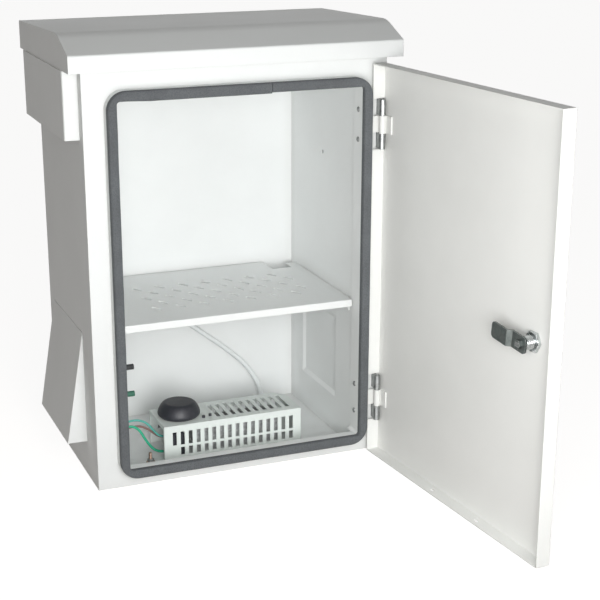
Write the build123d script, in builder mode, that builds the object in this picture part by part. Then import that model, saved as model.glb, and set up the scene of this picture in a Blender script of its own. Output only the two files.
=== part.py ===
from build123d import *
import math
import os

# All sizes are in millimetres. The origin is the centre of the base, on the ground,
# with +X to the right of the front, +Y to the back and +Z up.

# Outer body of folded sheet
body_width = 400.0
body_depth = 237.0
body_height = 541.0
shell_sheet = 1.5
shell_corner = 3.0

# Front face, the raised rim round its opening, and the seal on the rim
rim_side_margin = 26.4
rim_top_margin = 25.2
rim_bottom_margin = 16.5
rim_width = 12.0
rim_height = 11.2
rim_corner = 24.0
opening_corner = 4.0
jamb_depth = 15.0
seal_thickness = 8.0
seal_edge = 2.0

# Door: a folded pan on two hinges, shown open
door_side_gap = 3.6
door_bottom = 1.0
door_top_drop = 10.0
door_sheet = 1.2
lip_gap = 2.7
seal_clearance = 0.3
open_angle = 95.0
drain_places = (40.0, -62.0)
drain_length = 8.0
drain_width = 4.0
drain_inset = 8.0

# Hinges with three knuckles
hinge_inset = 7.4
hinge_forward = 13.2
hinge_top_drop = 119.5
hinge_low_level = 47.0
knuckle_radius = 4.2
knuckle_gap = 0.3
fixed_knuckle_height = 20.0
door_knuckle_height = 23.0
pin_radius = 2.1
pin_fit = 0.02
pin_running = 0.05
pin_head_radius = 3.2
pin_head_height = 1.2
pin_head_round = 0.7
arm_thickness = 4.0
arm_play = 0.4
leaf_thickness = 2.5
leaf_depth = 12.0
leaf_forward = 6.0
leaf_reach = 3.0
door_leaf_width = 14.6
door_leaf_thickness = 2.0
knuckle_cut_margin = 1.0
screw_side = 12.4
screw_radius = 2.0
screw_socket = 1.2
screw_head_radius = 3.4
screw_head_height = 1.6
screw_play = 0.1
jamb_screw_depth = 0.5

# Cam lock near the door's free edge
lock_inset = 48.9
lock_level = 260.0
lock_body_radius = 8.0
lock_flange_radius = 12.0
lock_flange_height = 2.5
lock_flange_round = 1.0
lock_nut_width = 23.4
lock_nut_height = 5.0
cam_gap = 0.3
lock_core_radius = 5.5
lock_core_fit = 0.05
key_slot_width = 1.2
key_slot_length = 8.0
key_slot_depth = 6.0
cam_width = 20.0
cam_reach = 49.0
cam_sheet = 2.5
cam_step = 5.0
cam_step_start = 17.0
cam_step_length = 4.0
cam_stem_width = 7.0
cam_stem_height = 5.0
cam_round = 5.0
cam_slot_clearance = 4.0
cam_nut_width = 10.0
cam_nut_height = 4.5
cam_rest_turn = 6.0

# Canopy roof, in a side view: overhangs and the heights of its folds
roof_front = 12.5
roof_back = 21.0
roof_side = 17.3
roof_drip = 2.3
fascia_height = 20.7
fold_depth = 52.0
fold_rise = 21.4
fold_radius = 60.0
roof_back_rise = 15.5
roof_sheet = 1.5
soffit_flange = 38.0

# Outlet hood under the roof, on the left side
hood_front_inset = 17.3
hood_back_inset = 1.5
hood_drop = 86.0
hood_out = 18.8
hood_sheet = 1.2

# Intake cowls low on the sides
cowl_out = 25.8
cowl_top = 200.0
cowl_bottom = 49.0
cowl_front_inset = 53.0
cowl_back_inset = 27.0
cowl_sheet = 1.2

# Vent slots in the outer side walls
vent_slot_length = 64.0
vent_slot_width = 6.0
vent_slot_pitch = 15.0
vent_slot_count = 8
outlet_drop = 41.0
inlet_level = 120.0

# Inner side walls, with a pressed square low down
inner_sheet = 1.2
inner_wall_lap = 5.0
inner_wall_flange = 14.0
press_size = 120.0
press_depth = 3.0
press_border = 6.0
press_front = 70.0
press_bottom = 54.0
mark_hole_radius = 2.6
mark_hole_front = 120.0
mark_hole_drop = 145.0
wall_gap = 0.2

# Inlet filter mats in their guide frames, behind the cowls
mat_width = 132.0
mat_height = 84.0
mat_thickness = 8.0
mat_frame_sheet = 1.0
mat_frame_lip = 6.0
mat_clearance = 0.2

# Shelf and its ledges
shelf_top = 215.5
shelf_sheet = 1.5
shelf_front = 9.0
shelf_back_gap = 5.5
shelf_fold_round = 1.3
shelf_lip = 9.5
shelf_left_gap = 0.5
shelf_right_gap = 2.0
shelf_notch_width = 44.0
shelf_notch_depth = 42.0
shelf_slot_length = 17.0
shelf_slot_width = 5.5
shelf_slot_turn = 125.0
shelf_slot_pitch = 33.0
shelf_slot_columns = 7
shelf_row_pitch = 23.5
shelf_rows = 5
shelf_row_start = 68.0
shelf_column_start = 105.0
ledge_width = 16.0
ledge_height = 18.0
ledge_sheet = 1.5
ledge_front = 24.0
ledge_back_gap = 19.0

# Small things on the left inner wall
bar_width = 9.0
bar_depth = 10.0
bar_length = 78.0
bar_top_drop = 114.0
bar_place = 22.0
sleeve_radius = 3.7
sleeve_lip_radius = 5.5
sleeve_length = 23.0
sleeve_bore = 2.5
sleeve_lip_height = 2.5
sleeve_places = {"upper_cable_sleeve": (30.0, 153.0), "lower_cable_sleeve": (30.0, 116.0)}
lead_grommet_place = (77.0, 51.0)
lead_grommet_radius = 9.0
lead_grommet_chamfer = 0.8
supply_sleeve_back = 13.0
supply_sleeve_level = 186.0
supply_sleeve_length = 12.0
supply_sleeve_radius = 4.8
supply_sleeve_lip = 7.0
supply_sleeve_bore = 1.5

# Slotted guard over the heater
guard_left = 107.0
guard_right = 306.0
guard_front = 58.0
guard_back = 128.0
guard_height = 48.5
guard_sheet = 1.0
guard_chamfer = 14.0
guard_slot_count = 16
guard_slot_pitch = 11.3
guard_slot_width = 5.6
guard_upper_slot = 19.0
guard_upper_level = 31.0
guard_lower_slot = 11.0
guard_lower_level = 12.5
guard_top_slot = 46.0
guard_top_start = 6
guard_entry_width = 62.0
guard_entry_height = 43.0
guard_sleeve_place = (262.0, 9.0)

# Heater body under the guard
heater_length = 128.0
heater_width = 40.0
heater_base = 4.0
heater_foot = 7.0
heater_fin_height = 26.0
heater_fin_sheet = 2.0
heater_fin_count = 7
heater_place = 219.0

# Black control cap on the guard
cap_place = (139.8, 95.0)
cap_radius = 29.2
cap_top_radius = 21.0
cap_height = 20.0
cap_skirt = 4.0
cap_round = 3.0
cap_lean = 1.2
cap_mark_radius = 2.2
cap_mark_height = 3.0
cap_marks = ((168.4, 73.5), (178.8, 76.5))

# Earth stud on the floor
stud_place = (88.0, 62.0)
stud_radius = 2.5
stud_height = 14.0
stud_chamfer = 0.5
earth_nut_width = 8.0
earth_nut_height = 4.0
washer_radius = 6.0
washer_height = 1.2

# Terminal block inside the guard
block_place = (122.0, 66.0)
block_length = 18.0
block_width = 34.0
block_height = 34.0
block_chamfer = 4.0

# Leads, as outer diameters
green_lead = 3.6
teal_lead = 3.0
brown_lead = 3.0
supply_diameter = 7.0
supply_wall_gap = 7.0
arc_share = 0.45

# Closed grommets in the floor's cable holes, and the base fixing holes
floor_grommet_places = ((-60.0, 62.0), (10.0, 62.0))
floor_grommet_radius = 14.0
floor_grommet_lip = 3.0
floor_grommet_height = 4.0
floor_grommet_dish = 2.0
base_hole_radius = 5.0
base_hole_spacing_x = 280.0
base_hole_spacing_y = 150.0

os.makedirs("parts", exist_ok=True)

# Places that follow from the sizes above
half_width = body_width / 2
front_y = -body_depth / 2
back_y = body_depth / 2
inner_back_y = back_y - shell_sheet
floor_z = shell_sheet
rim_outer_x = half_width - rim_side_margin
rim_outer_top = body_height - rim_top_margin
rim_outer_bottom = rim_bottom_margin
rim_outer_height = rim_outer_top - rim_outer_bottom
rim_middle_z = (rim_outer_top + rim_outer_bottom) / 2
jamb_x = rim_outer_x - rim_width
jamb_back_x = jamb_x + shell_sheet
rim_front_y = front_y - rim_height
seal_front_y = rim_front_y - seal_thickness
jamb_back_y = front_y + jamb_depth
shell_front_y = front_y + shell_sheet

door_top = body_height - door_top_drop
door_inner_y = seal_front_y - seal_clearance
door_outer_y = door_inner_y - door_sheet
door_lip_y = front_y - lip_gap
door_half = half_width - door_side_gap
door_height = door_top - door_bottom
door_middle_z = (door_top + door_bottom) / 2
hinge_levels = (body_height - hinge_top_drop, hinge_low_level)
hinge_x = door_half - hinge_inset
hinge_y = front_y - hinge_forward
hinge_height = 2 * fixed_knuckle_height + door_knuckle_height + 2 * knuckle_gap
lock_x = -door_half + lock_inset
cam_y = shell_front_y + cam_slot_clearance / 2
cam_hub_y = cam_y - cam_step
outlet_level = body_height - outlet_drop
ledge_back = body_depth - ledge_back_gap
supply_sleeve_place = (body_depth - supply_sleeve_back, supply_sleeve_level)

door_turn = (
    Location((hinge_x, hinge_y, 0))
    * Location((0, 0, 0), (0, 0, open_angle))
    * Location((-hinge_x, -hinge_y, 0))
)
latch_turn = (
    door_turn
    * Location((lock_x, 0, lock_level))
    * Location((0, 0, 0), (0, -cam_rest_turn, 0))
    * Location((-lock_x, 0, -lock_level))
)


def from_left(distance):
    """Gives the X place that lies this far from the body's left side."""
    return distance - half_width


def from_front(distance):
    """Gives the Y place that lies this far behind the front face."""
    return distance + front_y


def swung(plane):
    """Turns a plane of the closed door about the hinge pins to the open pose."""
    return Plane(door_turn * plane.location)


def turned(plane):
    """Turns a plane of the closed door's level cam to the open pose, with the cam a little up."""
    return Plane(latch_turn * plane.location)


def facing_back(y):
    """A plane at this Y, seen from the front: its x is X and its y is Z."""
    return Plane(origin=(0, y, 0), x_dir=(1, 0, 0), z_dir=(0, -1, 0))


def facing_right(x):
    """A plane at this X: its x is Y and its y is Z."""
    return Plane(origin=(x, 0, 0), x_dir=(0, 1, 0), z_dir=(1, 0, 0))


def save(piece, name):
    """Labels a finished piece and writes it under its own name."""
    piece.part.label = name
    export_step(piece.part, f"parts/{name}.step")


def rim_outline(inset, corner):
    """Draws the rim's outline, drawn in by an inset from its outer side."""
    RectangleRounded(2 * (rim_outer_x - inset), rim_outer_height - 2 * inset, corner)


def rim_plane(y):
    """A plane facing the front at this Y, centred on the opening."""
    return Plane(origin=(0, y, rim_middle_z), x_dir=(1, 0, 0), z_dir=(0, -1, 0))


# Outer shell: side walls and back in one wrap, with the floor and the top
vent_centre_y = (from_front(cowl_front_inset) + back_y - cowl_back_inset) / 2
with BuildPart() as outer_shell:
    with BuildSketch(Plane.XY):
        with Locations((0, (shell_front_y + back_y) / 2)):
            Rectangle(body_width, back_y - shell_front_y)
    extrude(amount=body_height)
    back_corners = outer_shell.edges().filter_by(Axis.Z).group_by(Axis.Y)[-1]
    fillet(back_corners, shell_corner)
    with BuildSketch(Plane.XY.offset(floor_z)):
        with Locations((0, (shell_front_y + inner_back_y) / 2)):
            Rectangle(body_width - 2 * shell_sheet, inner_back_y - shell_front_y)
    extrude(amount=body_height - 2 * shell_sheet, mode=Mode.SUBTRACT)
    # Vent slots: an outlet under the hood, and an inlet under each cowl
    with BuildSketch(facing_right(-half_width)):
        with Locations((vent_centre_y, outlet_level), (vent_centre_y, inlet_level)):
            with GridLocations(vent_slot_pitch, 0, vent_slot_count, 1):
                SlotOverall(vent_slot_length, vent_slot_width, rotation=90)
    extrude(amount=shell_sheet, mode=Mode.SUBTRACT)
    with BuildSketch(facing_right(half_width)):
        with Locations((vent_centre_y, inlet_level)):
            with GridLocations(vent_slot_pitch, 0, vent_slot_count, 1):
                SlotOverall(vent_slot_length, vent_slot_width, rotation=90)
    extrude(amount=-shell_sheet, mode=Mode.SUBTRACT)
    # Floor holes for the grommets, the base fixings and the earth stud
    with BuildSketch(Plane.XY):
        with Locations(floor_grommet_places):
            Circle(floor_grommet_radius)
        with GridLocations(base_hole_spacing_x, base_hole_spacing_y, 2, 2):
            Circle(base_hole_radius)
        with Locations((from_left(stud_place[0]), from_front(stud_place[1]))):
            Circle(stud_radius)
    extrude(amount=floor_z, mode=Mode.SUBTRACT)
save(outer_shell, "outer_shell")

# Front frame: the face, the raised rim with its flat land, and the jambs
cam_sweep = math.sqrt(math.hypot(cam_reach, cam_width / 2) ** 2 - (lock_x + jamb_x) ** 2)
cam_slot_bottom = lock_level - cam_width / 2 - cam_slot_clearance
cam_slot_top = lock_level + cam_sweep + cam_slot_clearance
cam_slot_depth = cam_step + cam_sheet + cam_slot_clearance
cam_slot_middle_y = (cam_hub_y + cam_y + cam_sheet) / 2
with BuildPart() as front_frame:
    with BuildSketch(facing_back(shell_front_y)):
        with Locations((0, body_height / 2)):
            Rectangle(body_width, body_height)
    extrude(amount=shell_sheet)
    with BuildSketch(rim_plane(shell_front_y)):
        rim_outline(0, rim_corner)
    extrude(amount=shell_sheet + rim_height)
    with BuildSketch(rim_plane(jamb_back_y)):
        rim_outline(rim_width - shell_sheet, opening_corner + shell_sheet)
    extrude(amount=jamb_back_y - rim_front_y - shell_sheet)
    # The rim is hollow behind its land
    with BuildSketch(rim_plane(shell_front_y)):
        rim_outline(shell_sheet, rim_corner - shell_sheet)
        with BuildSketch(mode=Mode.PRIVATE) as rim_core:
            rim_outline(rim_width - shell_sheet, opening_corner + shell_sheet)
        add(rim_core.sketch, mode=Mode.SUBTRACT)
    extrude(amount=rim_height, mode=Mode.SUBTRACT)
    with BuildSketch(rim_plane(jamb_back_y)):
        rim_outline(rim_width, opening_corner)
    extrude(amount=jamb_depth + rim_height, mode=Mode.SUBTRACT)
    # The sill has no return behind the face, so that the floor is clear of it
    with BuildSketch(facing_back(jamb_back_y)):
        with Locations((0, rim_outer_bottom + rim_width - shell_sheet / 2)):
            Rectangle(2 * (jamb_x - opening_corner), shell_sheet)
    extrude(amount=jamb_depth - shell_sheet, mode=Mode.SUBTRACT)
    # Slot in the left jamb that the lock's cam turns into
    with BuildSketch(facing_right(-jamb_back_x)):
        with Locations((cam_slot_middle_y, (cam_slot_bottom + cam_slot_top) / 2)):
            Rectangle(cam_slot_depth, cam_slot_top - cam_slot_bottom)
    extrude(amount=shell_sheet, mode=Mode.SUBTRACT)
    # Slots in the face for the hinge arms, and holes in the jamb for their screws
    for level in hinge_levels:
        for z in (level, level + hinge_height - fixed_knuckle_height):
            with BuildSketch(facing_back(shell_front_y)):
                with Locations((hinge_x, z + fixed_knuckle_height / 2)):
                    Rectangle(arm_thickness + 2 * arm_play, fixed_knuckle_height + 2 * arm_play)
            extrude(amount=shell_sheet, mode=Mode.SUBTRACT)
        with BuildSketch(facing_right(jamb_x)):
            with Locations((from_front(jamb_screw_depth), level + hinge_height / 2)):
                with GridLocations(0, hinge_height - 2 * screw_side, 1, 2):
                    Circle(screw_radius + screw_play)
        extrude(amount=shell_sheet, mode=Mode.SUBTRACT)
save(front_frame, "front_frame")

# Seal: a foam strip on the rim's land
with BuildPart() as door_seal:
    with BuildSketch(rim_plane(rim_front_y)):
        rim_outline(0, rim_corner)
        with BuildSketch(mode=Mode.PRIVATE) as seal_core:
            rim_outline(rim_width, opening_corner)
        add(seal_core.sketch, mode=Mode.SUBTRACT)
    extrude(amount=seal_thickness)
    front_edges = door_seal.faces().sort_by(Axis.Y)[0].edges()
    fillet(front_edges, seal_edge)
save(door_seal, "door_seal")

# Canopy roof: one folded profile closed by end plates, with a flange that sits on the body
roof_front_y = front_y - roof_front
roof_back_y = back_y + roof_back
roof_half = half_width + roof_side
roof_bottom = body_height - roof_drip
fascia_top = roof_bottom + fascia_height
fold_y = roof_front_y + fold_depth
fold_z = fascia_top + fold_rise
roof_back_top = fascia_top + roof_back_rise


with BuildPart() as roof_canopy:
    with BuildSketch(facing_right(-roof_half)):
        with BuildLine():
            FilletPolyline(
                (roof_front_y, roof_bottom),
                (roof_front_y, fascia_top),
                (fold_y, fold_z),
                (roof_back_y, roof_back_top),
                (roof_back_y, roof_bottom),
                radius=[2 * roof_sheet, fold_radius, 2 * roof_sheet],
            )
            Line((roof_back_y, roof_bottom), (roof_front_y, roof_bottom))
        make_face()
    extrude(amount=2 * roof_half)
    open_bottom = roof_canopy.faces().sort_by(Axis.Z)[0]
    offset(amount=-roof_sheet, openings=open_bottom)
    # Soffit flange, with its inner edge lying on the body's top
    with BuildSketch(Plane.XY.offset(body_height)):
        with Locations((0, (roof_front_y + roof_back_y) / 2)):
            Rectangle(2 * (roof_half - roof_sheet), roof_back_y - roof_front_y - 2 * roof_sheet)
        Rectangle(
            body_width - 2 * soffit_flange,
            body_depth - 2 * soffit_flange,
            mode=Mode.SUBTRACT,
        )
    extrude(amount=roof_sheet)
save(roof_canopy, "roof_canopy")

# Outlet hood: a channel bent from one strip, open at the bottom
hood_front_y = from_front(hood_front_inset)
hood_back_y = back_y - hood_back_inset
hood_bottom = body_height - hood_drop
with BuildPart() as left_vent_hood:
    with BuildSketch(Plane.XY.offset(hood_bottom)):
        with Locations((-half_width - hood_out / 2, (hood_front_y + hood_back_y) / 2)):
            Rectangle(hood_out, hood_back_y - hood_front_y)
    extrude(amount=roof_bottom - hood_bottom)
    outer_corners = left_vent_hood.edges().filter_by(Axis.Z).group_by(Axis.X)[0]
    fillet(outer_corners, 2 * hood_sheet)
    hood_mouth = left_vent_hood.faces().sort_by(Axis.Z)[0]
    hood_back = left_vent_hood.faces().sort_by(Axis.X)[-1]
    offset(amount=-hood_sheet, openings=[hood_mouth, hood_back])
save(left_vent_hood, "left_vent_hood")

# Intake cowls: a sloped sheet between two triangular cheeks, open at the bottom
cowl_front_y = from_front(cowl_front_inset)
cowl_back_y = back_y - cowl_back_inset
cowl_slope = math.hypot(cowl_out, cowl_top - cowl_bottom)
cowl_sheet_level = cowl_sheet * cowl_slope / (cowl_top - cowl_bottom)
cowl_sheet_drop = cowl_sheet * cowl_slope / cowl_out


def cowl(side):
    """Builds the cowl of one side: -1 for the left and 1 for the right."""
    with BuildPart() as piece:
        with BuildSketch(facing_back(cowl_back_y)):
            with BuildLine():
                Polyline(
                    (side * half_width, cowl_top),
                    (side * (half_width + cowl_out), cowl_bottom),
                    (side * (half_width + cowl_out - cowl_sheet_level), cowl_bottom),
                    (side * half_width, cowl_top - cowl_sheet_drop),
                    close=True,
                )
            make_face()
        extrude(amount=cowl_back_y - cowl_front_y)
        for y in (cowl_back_y, cowl_front_y + cowl_sheet):
            with BuildSketch(facing_back(y)):
                with BuildLine():
                    Polyline(
                        (side * half_width, cowl_top),
                        (side * (half_width + cowl_out), cowl_bottom),
                        (side * half_width, cowl_bottom),
                        close=True,
                    )
                make_face()
            extrude(amount=cowl_sheet)
    return piece


save(cowl(-1), "left_intake_cowl")
save(cowl(1), "right_intake_cowl")

# Inner side walls: from the jambs to the back wall, with a flange bent outwards
wall_front_y = jamb_back_y - inner_wall_lap
inner_left_face = half_width - jamb_back_x
wall_bottom = floor_z + wall_gap
wall_top = body_height - shell_sheet - wall_gap
press_middle_y = from_front(press_front) + press_size / 2
press_middle_z = press_bottom + press_size / 2
press_outer = press_size + 2 * inner_sheet
press_inner = press_size - 2 * press_border


def inner_wall(side, outlet):
    """Builds the inner wall of one side: -1 for the left and 1 for the right."""
    wall_x = side * jamb_back_x
    outward = side * inner_sheet
    with BuildPart() as piece:
        with BuildSketch(Plane.XY.offset(wall_bottom)):
            with BuildLine():
                Polyline(
                    (wall_x, wall_front_y),
                    (wall_x, inner_back_y),
                    (wall_x + side * inner_wall_flange, inner_back_y),
                    (wall_x + side * inner_wall_flange, inner_back_y - inner_sheet),
                    (wall_x + outward, inner_back_y - inner_sheet),
                    (wall_x + outward, wall_front_y),
                    close=True,
                )
            make_face()
        extrude(amount=wall_top - wall_bottom)
        # Pressed square: a shallow tray with sloped borders, standing out into the duct
        with BuildSketch(facing_right(wall_x)):
            with Locations((press_middle_y, press_middle_z)):
                Rectangle(press_size, press_size)
        extrude(amount=outward, mode=Mode.SUBTRACT)
        press_low = facing_right(wall_x + side * (press_depth + inner_sheet))
        with BuildSketch(facing_right(wall_x)):
            with Locations((press_middle_y, press_middle_z)):
                Rectangle(press_outer, press_outer)
        with BuildSketch(press_low):
            with Locations((press_middle_y, press_middle_z)):
                Rectangle(press_inner + inner_sheet, press_inner + inner_sheet)
        loft()
        with BuildSketch(facing_right(wall_x)):
            with Locations((press_middle_y, press_middle_z)):
                Rectangle(press_size, press_size)
        with BuildSketch(facing_right(wall_x + side * press_depth)):
            with Locations((press_middle_y, press_middle_z)):
                Rectangle(press_inner, press_inner)
        loft(mode=Mode.SUBTRACT)
        if outlet:
            with BuildSketch(facing_right(wall_x)):
                with Locations((vent_centre_y, outlet_level)):
                    with GridLocations(vent_slot_pitch, 0, vent_slot_count, 1):
                        SlotOverall(vent_slot_length, vent_slot_width, rotation=90)
            extrude(amount=outward, mode=Mode.SUBTRACT)
            with BuildSketch(facing_right(wall_x)):
                with Locations([(from_front(y), z) for y, z in sleeve_places.values()]):
                    Circle(sleeve_radius)
                with Locations((from_front(supply_sleeve_place[0]), supply_sleeve_place[1])):
                    Circle(supply_sleeve_radius)
                with Locations((from_front(lead_grommet_place[0]), lead_grommet_place[1])):
                    Circle(lead_grommet_radius)
            extrude(amount=outward, mode=Mode.SUBTRACT)
        else:
            with BuildSketch(facing_right(wall_x)):
                with Locations((from_front(mark_hole_front), body_height - mark_hole_drop)):
                    Circle(mark_hole_radius)
            extrude(amount=outward, mode=Mode.SUBTRACT)
    return piece


save(inner_wall(-1, True), "left_inner_wall")
save(inner_wall(1, False), "right_inner_wall")

# Filter mats: each is held in a guide frame against the inlet slots
mat_wall_x = half_width - shell_sheet


def filter_frame(side):
    """Builds the guide frame of one side, open to the slots and to the duct."""
    with BuildPart() as piece:
        with BuildSketch(facing_right(side * mat_wall_x)):
            with Locations((vent_centre_y, inlet_level)):
                Rectangle(mat_width + 2 * mat_frame_sheet, mat_height + 2 * mat_frame_sheet)
        extrude(amount=-side * (mat_thickness + mat_frame_sheet + mat_clearance))
        with BuildSketch(facing_right(side * mat_wall_x)):
            with Locations((vent_centre_y, inlet_level)):
                Rectangle(mat_width, mat_height)
        extrude(amount=-side * (mat_thickness + mat_clearance), mode=Mode.SUBTRACT)
        with BuildSketch(facing_right(side * (mat_wall_x - mat_thickness - mat_clearance))):
            with Locations((vent_centre_y, inlet_level)):
                Rectangle(mat_width - 2 * mat_frame_lip, mat_height - 2 * mat_frame_lip)
        extrude(amount=-side * mat_frame_sheet, mode=Mode.SUBTRACT)
    return piece


def filter_mat(side):
    """Builds the mat of one side, with a little play in its frame."""
    with BuildPart() as piece:
        with BuildSketch(facing_right(side * mat_wall_x)):
            with Locations((vent_centre_y, inlet_level)):
                Rectangle(mat_width - 2 * mat_clearance, mat_height - 2 * mat_clearance)
        extrude(amount=-side * mat_thickness)
    return piece


for side, side_name in ((-1, "left"), (1, "right")):
    save(filter_frame(side), f"{side_name}_filter_frame")
    save(filter_mat(side), f"{side_name}_filter_mat")

# Shelf: a tray with a front and a back lip, slots in staggered rows and one cut corner
shelf_left_x = -jamb_x + shelf_left_gap
shelf_right_x = jamb_x - shelf_right_gap
shelf_front_y = from_front(shelf_front)
shelf_back_y = back_y - shelf_back_gap
shelf_under = shelf_top - shelf_sheet
shelf_row_length = shelf_slot_pitch * (shelf_slot_columns - 1)
with BuildPart() as shelf:
    with BuildSketch(Plane.XY.offset(shelf_under)):
        with BuildLine():
            Polyline(
                (shelf_left_x, shelf_front_y),
                (shelf_right_x, shelf_front_y),
                (shelf_right_x, shelf_back_y - shelf_notch_depth),
                (shelf_right_x - shelf_notch_width, shelf_back_y - shelf_notch_depth),
                (shelf_right_x - shelf_notch_width, shelf_back_y),
                (shelf_left_x, shelf_back_y),
                close=True,
            )
        make_face()
        for row in range(shelf_rows):
            shift = shelf_slot_pitch / 2 * (row % 2)
            row_y = from_front(shelf_row_start + row * shelf_row_pitch)
            row_x = from_left(shelf_column_start) + shift + shelf_row_length / 2
            with Locations((row_x, row_y)):
                with GridLocations(shelf_slot_pitch, 0, shelf_slot_columns, 1):
                    SlotOverall(
                        shelf_slot_length,
                        shelf_slot_width,
                        rotation=shelf_slot_turn,
                        mode=Mode.SUBTRACT,
                    )
    extrude(amount=shelf_sheet)
    with BuildSketch(Plane.XY.offset(shelf_top - shelf_lip)):
        with Locations(((shelf_left_x + shelf_right_x) / 2, shelf_front_y + shelf_sheet / 2)):
            Rectangle(shelf_right_x - shelf_left_x, shelf_sheet)
        back_lip_length = shelf_right_x - shelf_notch_width - shelf_left_x
        with Locations((shelf_left_x + back_lip_length / 2, shelf_back_y - shelf_sheet / 2)):
            Rectangle(back_lip_length, shelf_sheet)
    extrude(amount=shelf_lip - shelf_sheet)
    fold_edges = shelf.edges().filter_by(Axis.X).group_by(Axis.Z)[-1].sort_by(Axis.Y)
    fillet(fold_edges[0], shelf_fold_round)
save(shelf, "shelf")


def shelf_ledge(side):
    """Builds the angle that carries one end of the shelf."""
    wall_x = side * jamb_back_x
    with BuildPart() as piece:
        with BuildSketch(facing_back(from_front(ledge_back))):
            with BuildLine():
                Polyline(
                    (wall_x, shelf_under),
                    (wall_x - side * ledge_width, shelf_under),
                    (wall_x - side * ledge_width, shelf_under - ledge_sheet),
                    (wall_x - side * ledge_sheet, shelf_under - ledge_sheet),
                    (wall_x - side * ledge_sheet, shelf_under - ledge_height),
                    (wall_x, shelf_under - ledge_height),
                    close=True,
                )
            make_face()
        extrude(amount=ledge_back - ledge_front)
    return piece


save(shelf_ledge(-1), "shelf_bracket_left")
save(shelf_ledge(1), "shelf_bracket_right")

# Bar on the left inner wall, for tying cables: a strap with its ends bent to the wall
left_face_x = -jamb_back_x
bar_top = body_height - bar_top_drop
bar_bottom = bar_top - bar_length
with BuildPart() as cable_bar:
    with BuildSketch(facing_back(from_front(bar_place) + bar_width)):
        with BuildLine():
            Polyline(
                (left_face_x, bar_bottom),
                (left_face_x + bar_depth, bar_bottom),
                (left_face_x + bar_depth, bar_top),
                (left_face_x, bar_top),
                (left_face_x, bar_top - shell_sheet),
                (left_face_x + bar_depth - shell_sheet, bar_top - shell_sheet),
                (left_face_x + bar_depth - shell_sheet, bar_bottom + shell_sheet),
                (left_face_x, bar_bottom + shell_sheet),
                close=True,
            )
        make_face()
    extrude(amount=bar_width)
save(cable_bar, "cable_bar")

# Dark sleeves in the left inner wall, where cables pass into the duct
def wall_plane(place_y, place_z, out):
    """A plane across a sleeve's axis, this far out from the left inner wall's face."""
    return Plane(
        origin=(left_face_x + out, from_front(place_y), place_z),
        x_dir=(0, 1, 0),
        z_dir=(1, 0, 0),
    )


def sleeve(face, sheet, length, radius, lip_radius, bore_radius):
    """Builds a sleeve that stands out of a sheet's face, with a lip on each side of the sheet."""
    back = -sheet - sleeve_lip_height
    with BuildPart() as piece:
        with BuildSketch(face.offset(back)):
            Circle(radius)
        extrude(amount=length - back)
        for lip_start in (back, 0):
            with BuildSketch(face.offset(lip_start)):
                Circle(lip_radius)
            extrude(amount=sleeve_lip_height)
        with BuildSketch(face.offset(back)):
            Circle(bore_radius)
        extrude(amount=length - back, mode=Mode.SUBTRACT)
    return piece


def supply_end(face, sheet):
    """Builds a sleeve that the supply cable ends on."""
    return sleeve(
        face,
        sheet,
        supply_sleeve_length,
        supply_sleeve_radius,
        supply_sleeve_lip,
        supply_sleeve_bore,
    )


for name, place in sleeve_places.items():
    wall_face = wall_plane(*place, 0)
    piece = sleeve(wall_face, inner_sheet, sleeve_length, sleeve_radius, sleeve_lip_radius, sleeve_bore)
    save(piece, name)
save(supply_end(wall_plane(*supply_sleeve_place, 0), inner_sheet), "supply_sleeve")
with BuildPart() as lead_grommet:
    with BuildSketch(wall_plane(*lead_grommet_place, -inner_sheet)):
        Circle(lead_grommet_radius)
    extrude(amount=inner_sheet)
    with BuildSketch(wall_plane(*lead_grommet_place, 0)):
        Circle(lead_grommet_radius + sleeve_lip_height)
    extrude(amount=sleeve_lip_height)
    chamfer(lead_grommet.edges().group_by(Axis.X)[-1], lead_grommet_chamfer)
save(lead_grommet, "lead_grommet")

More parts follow.
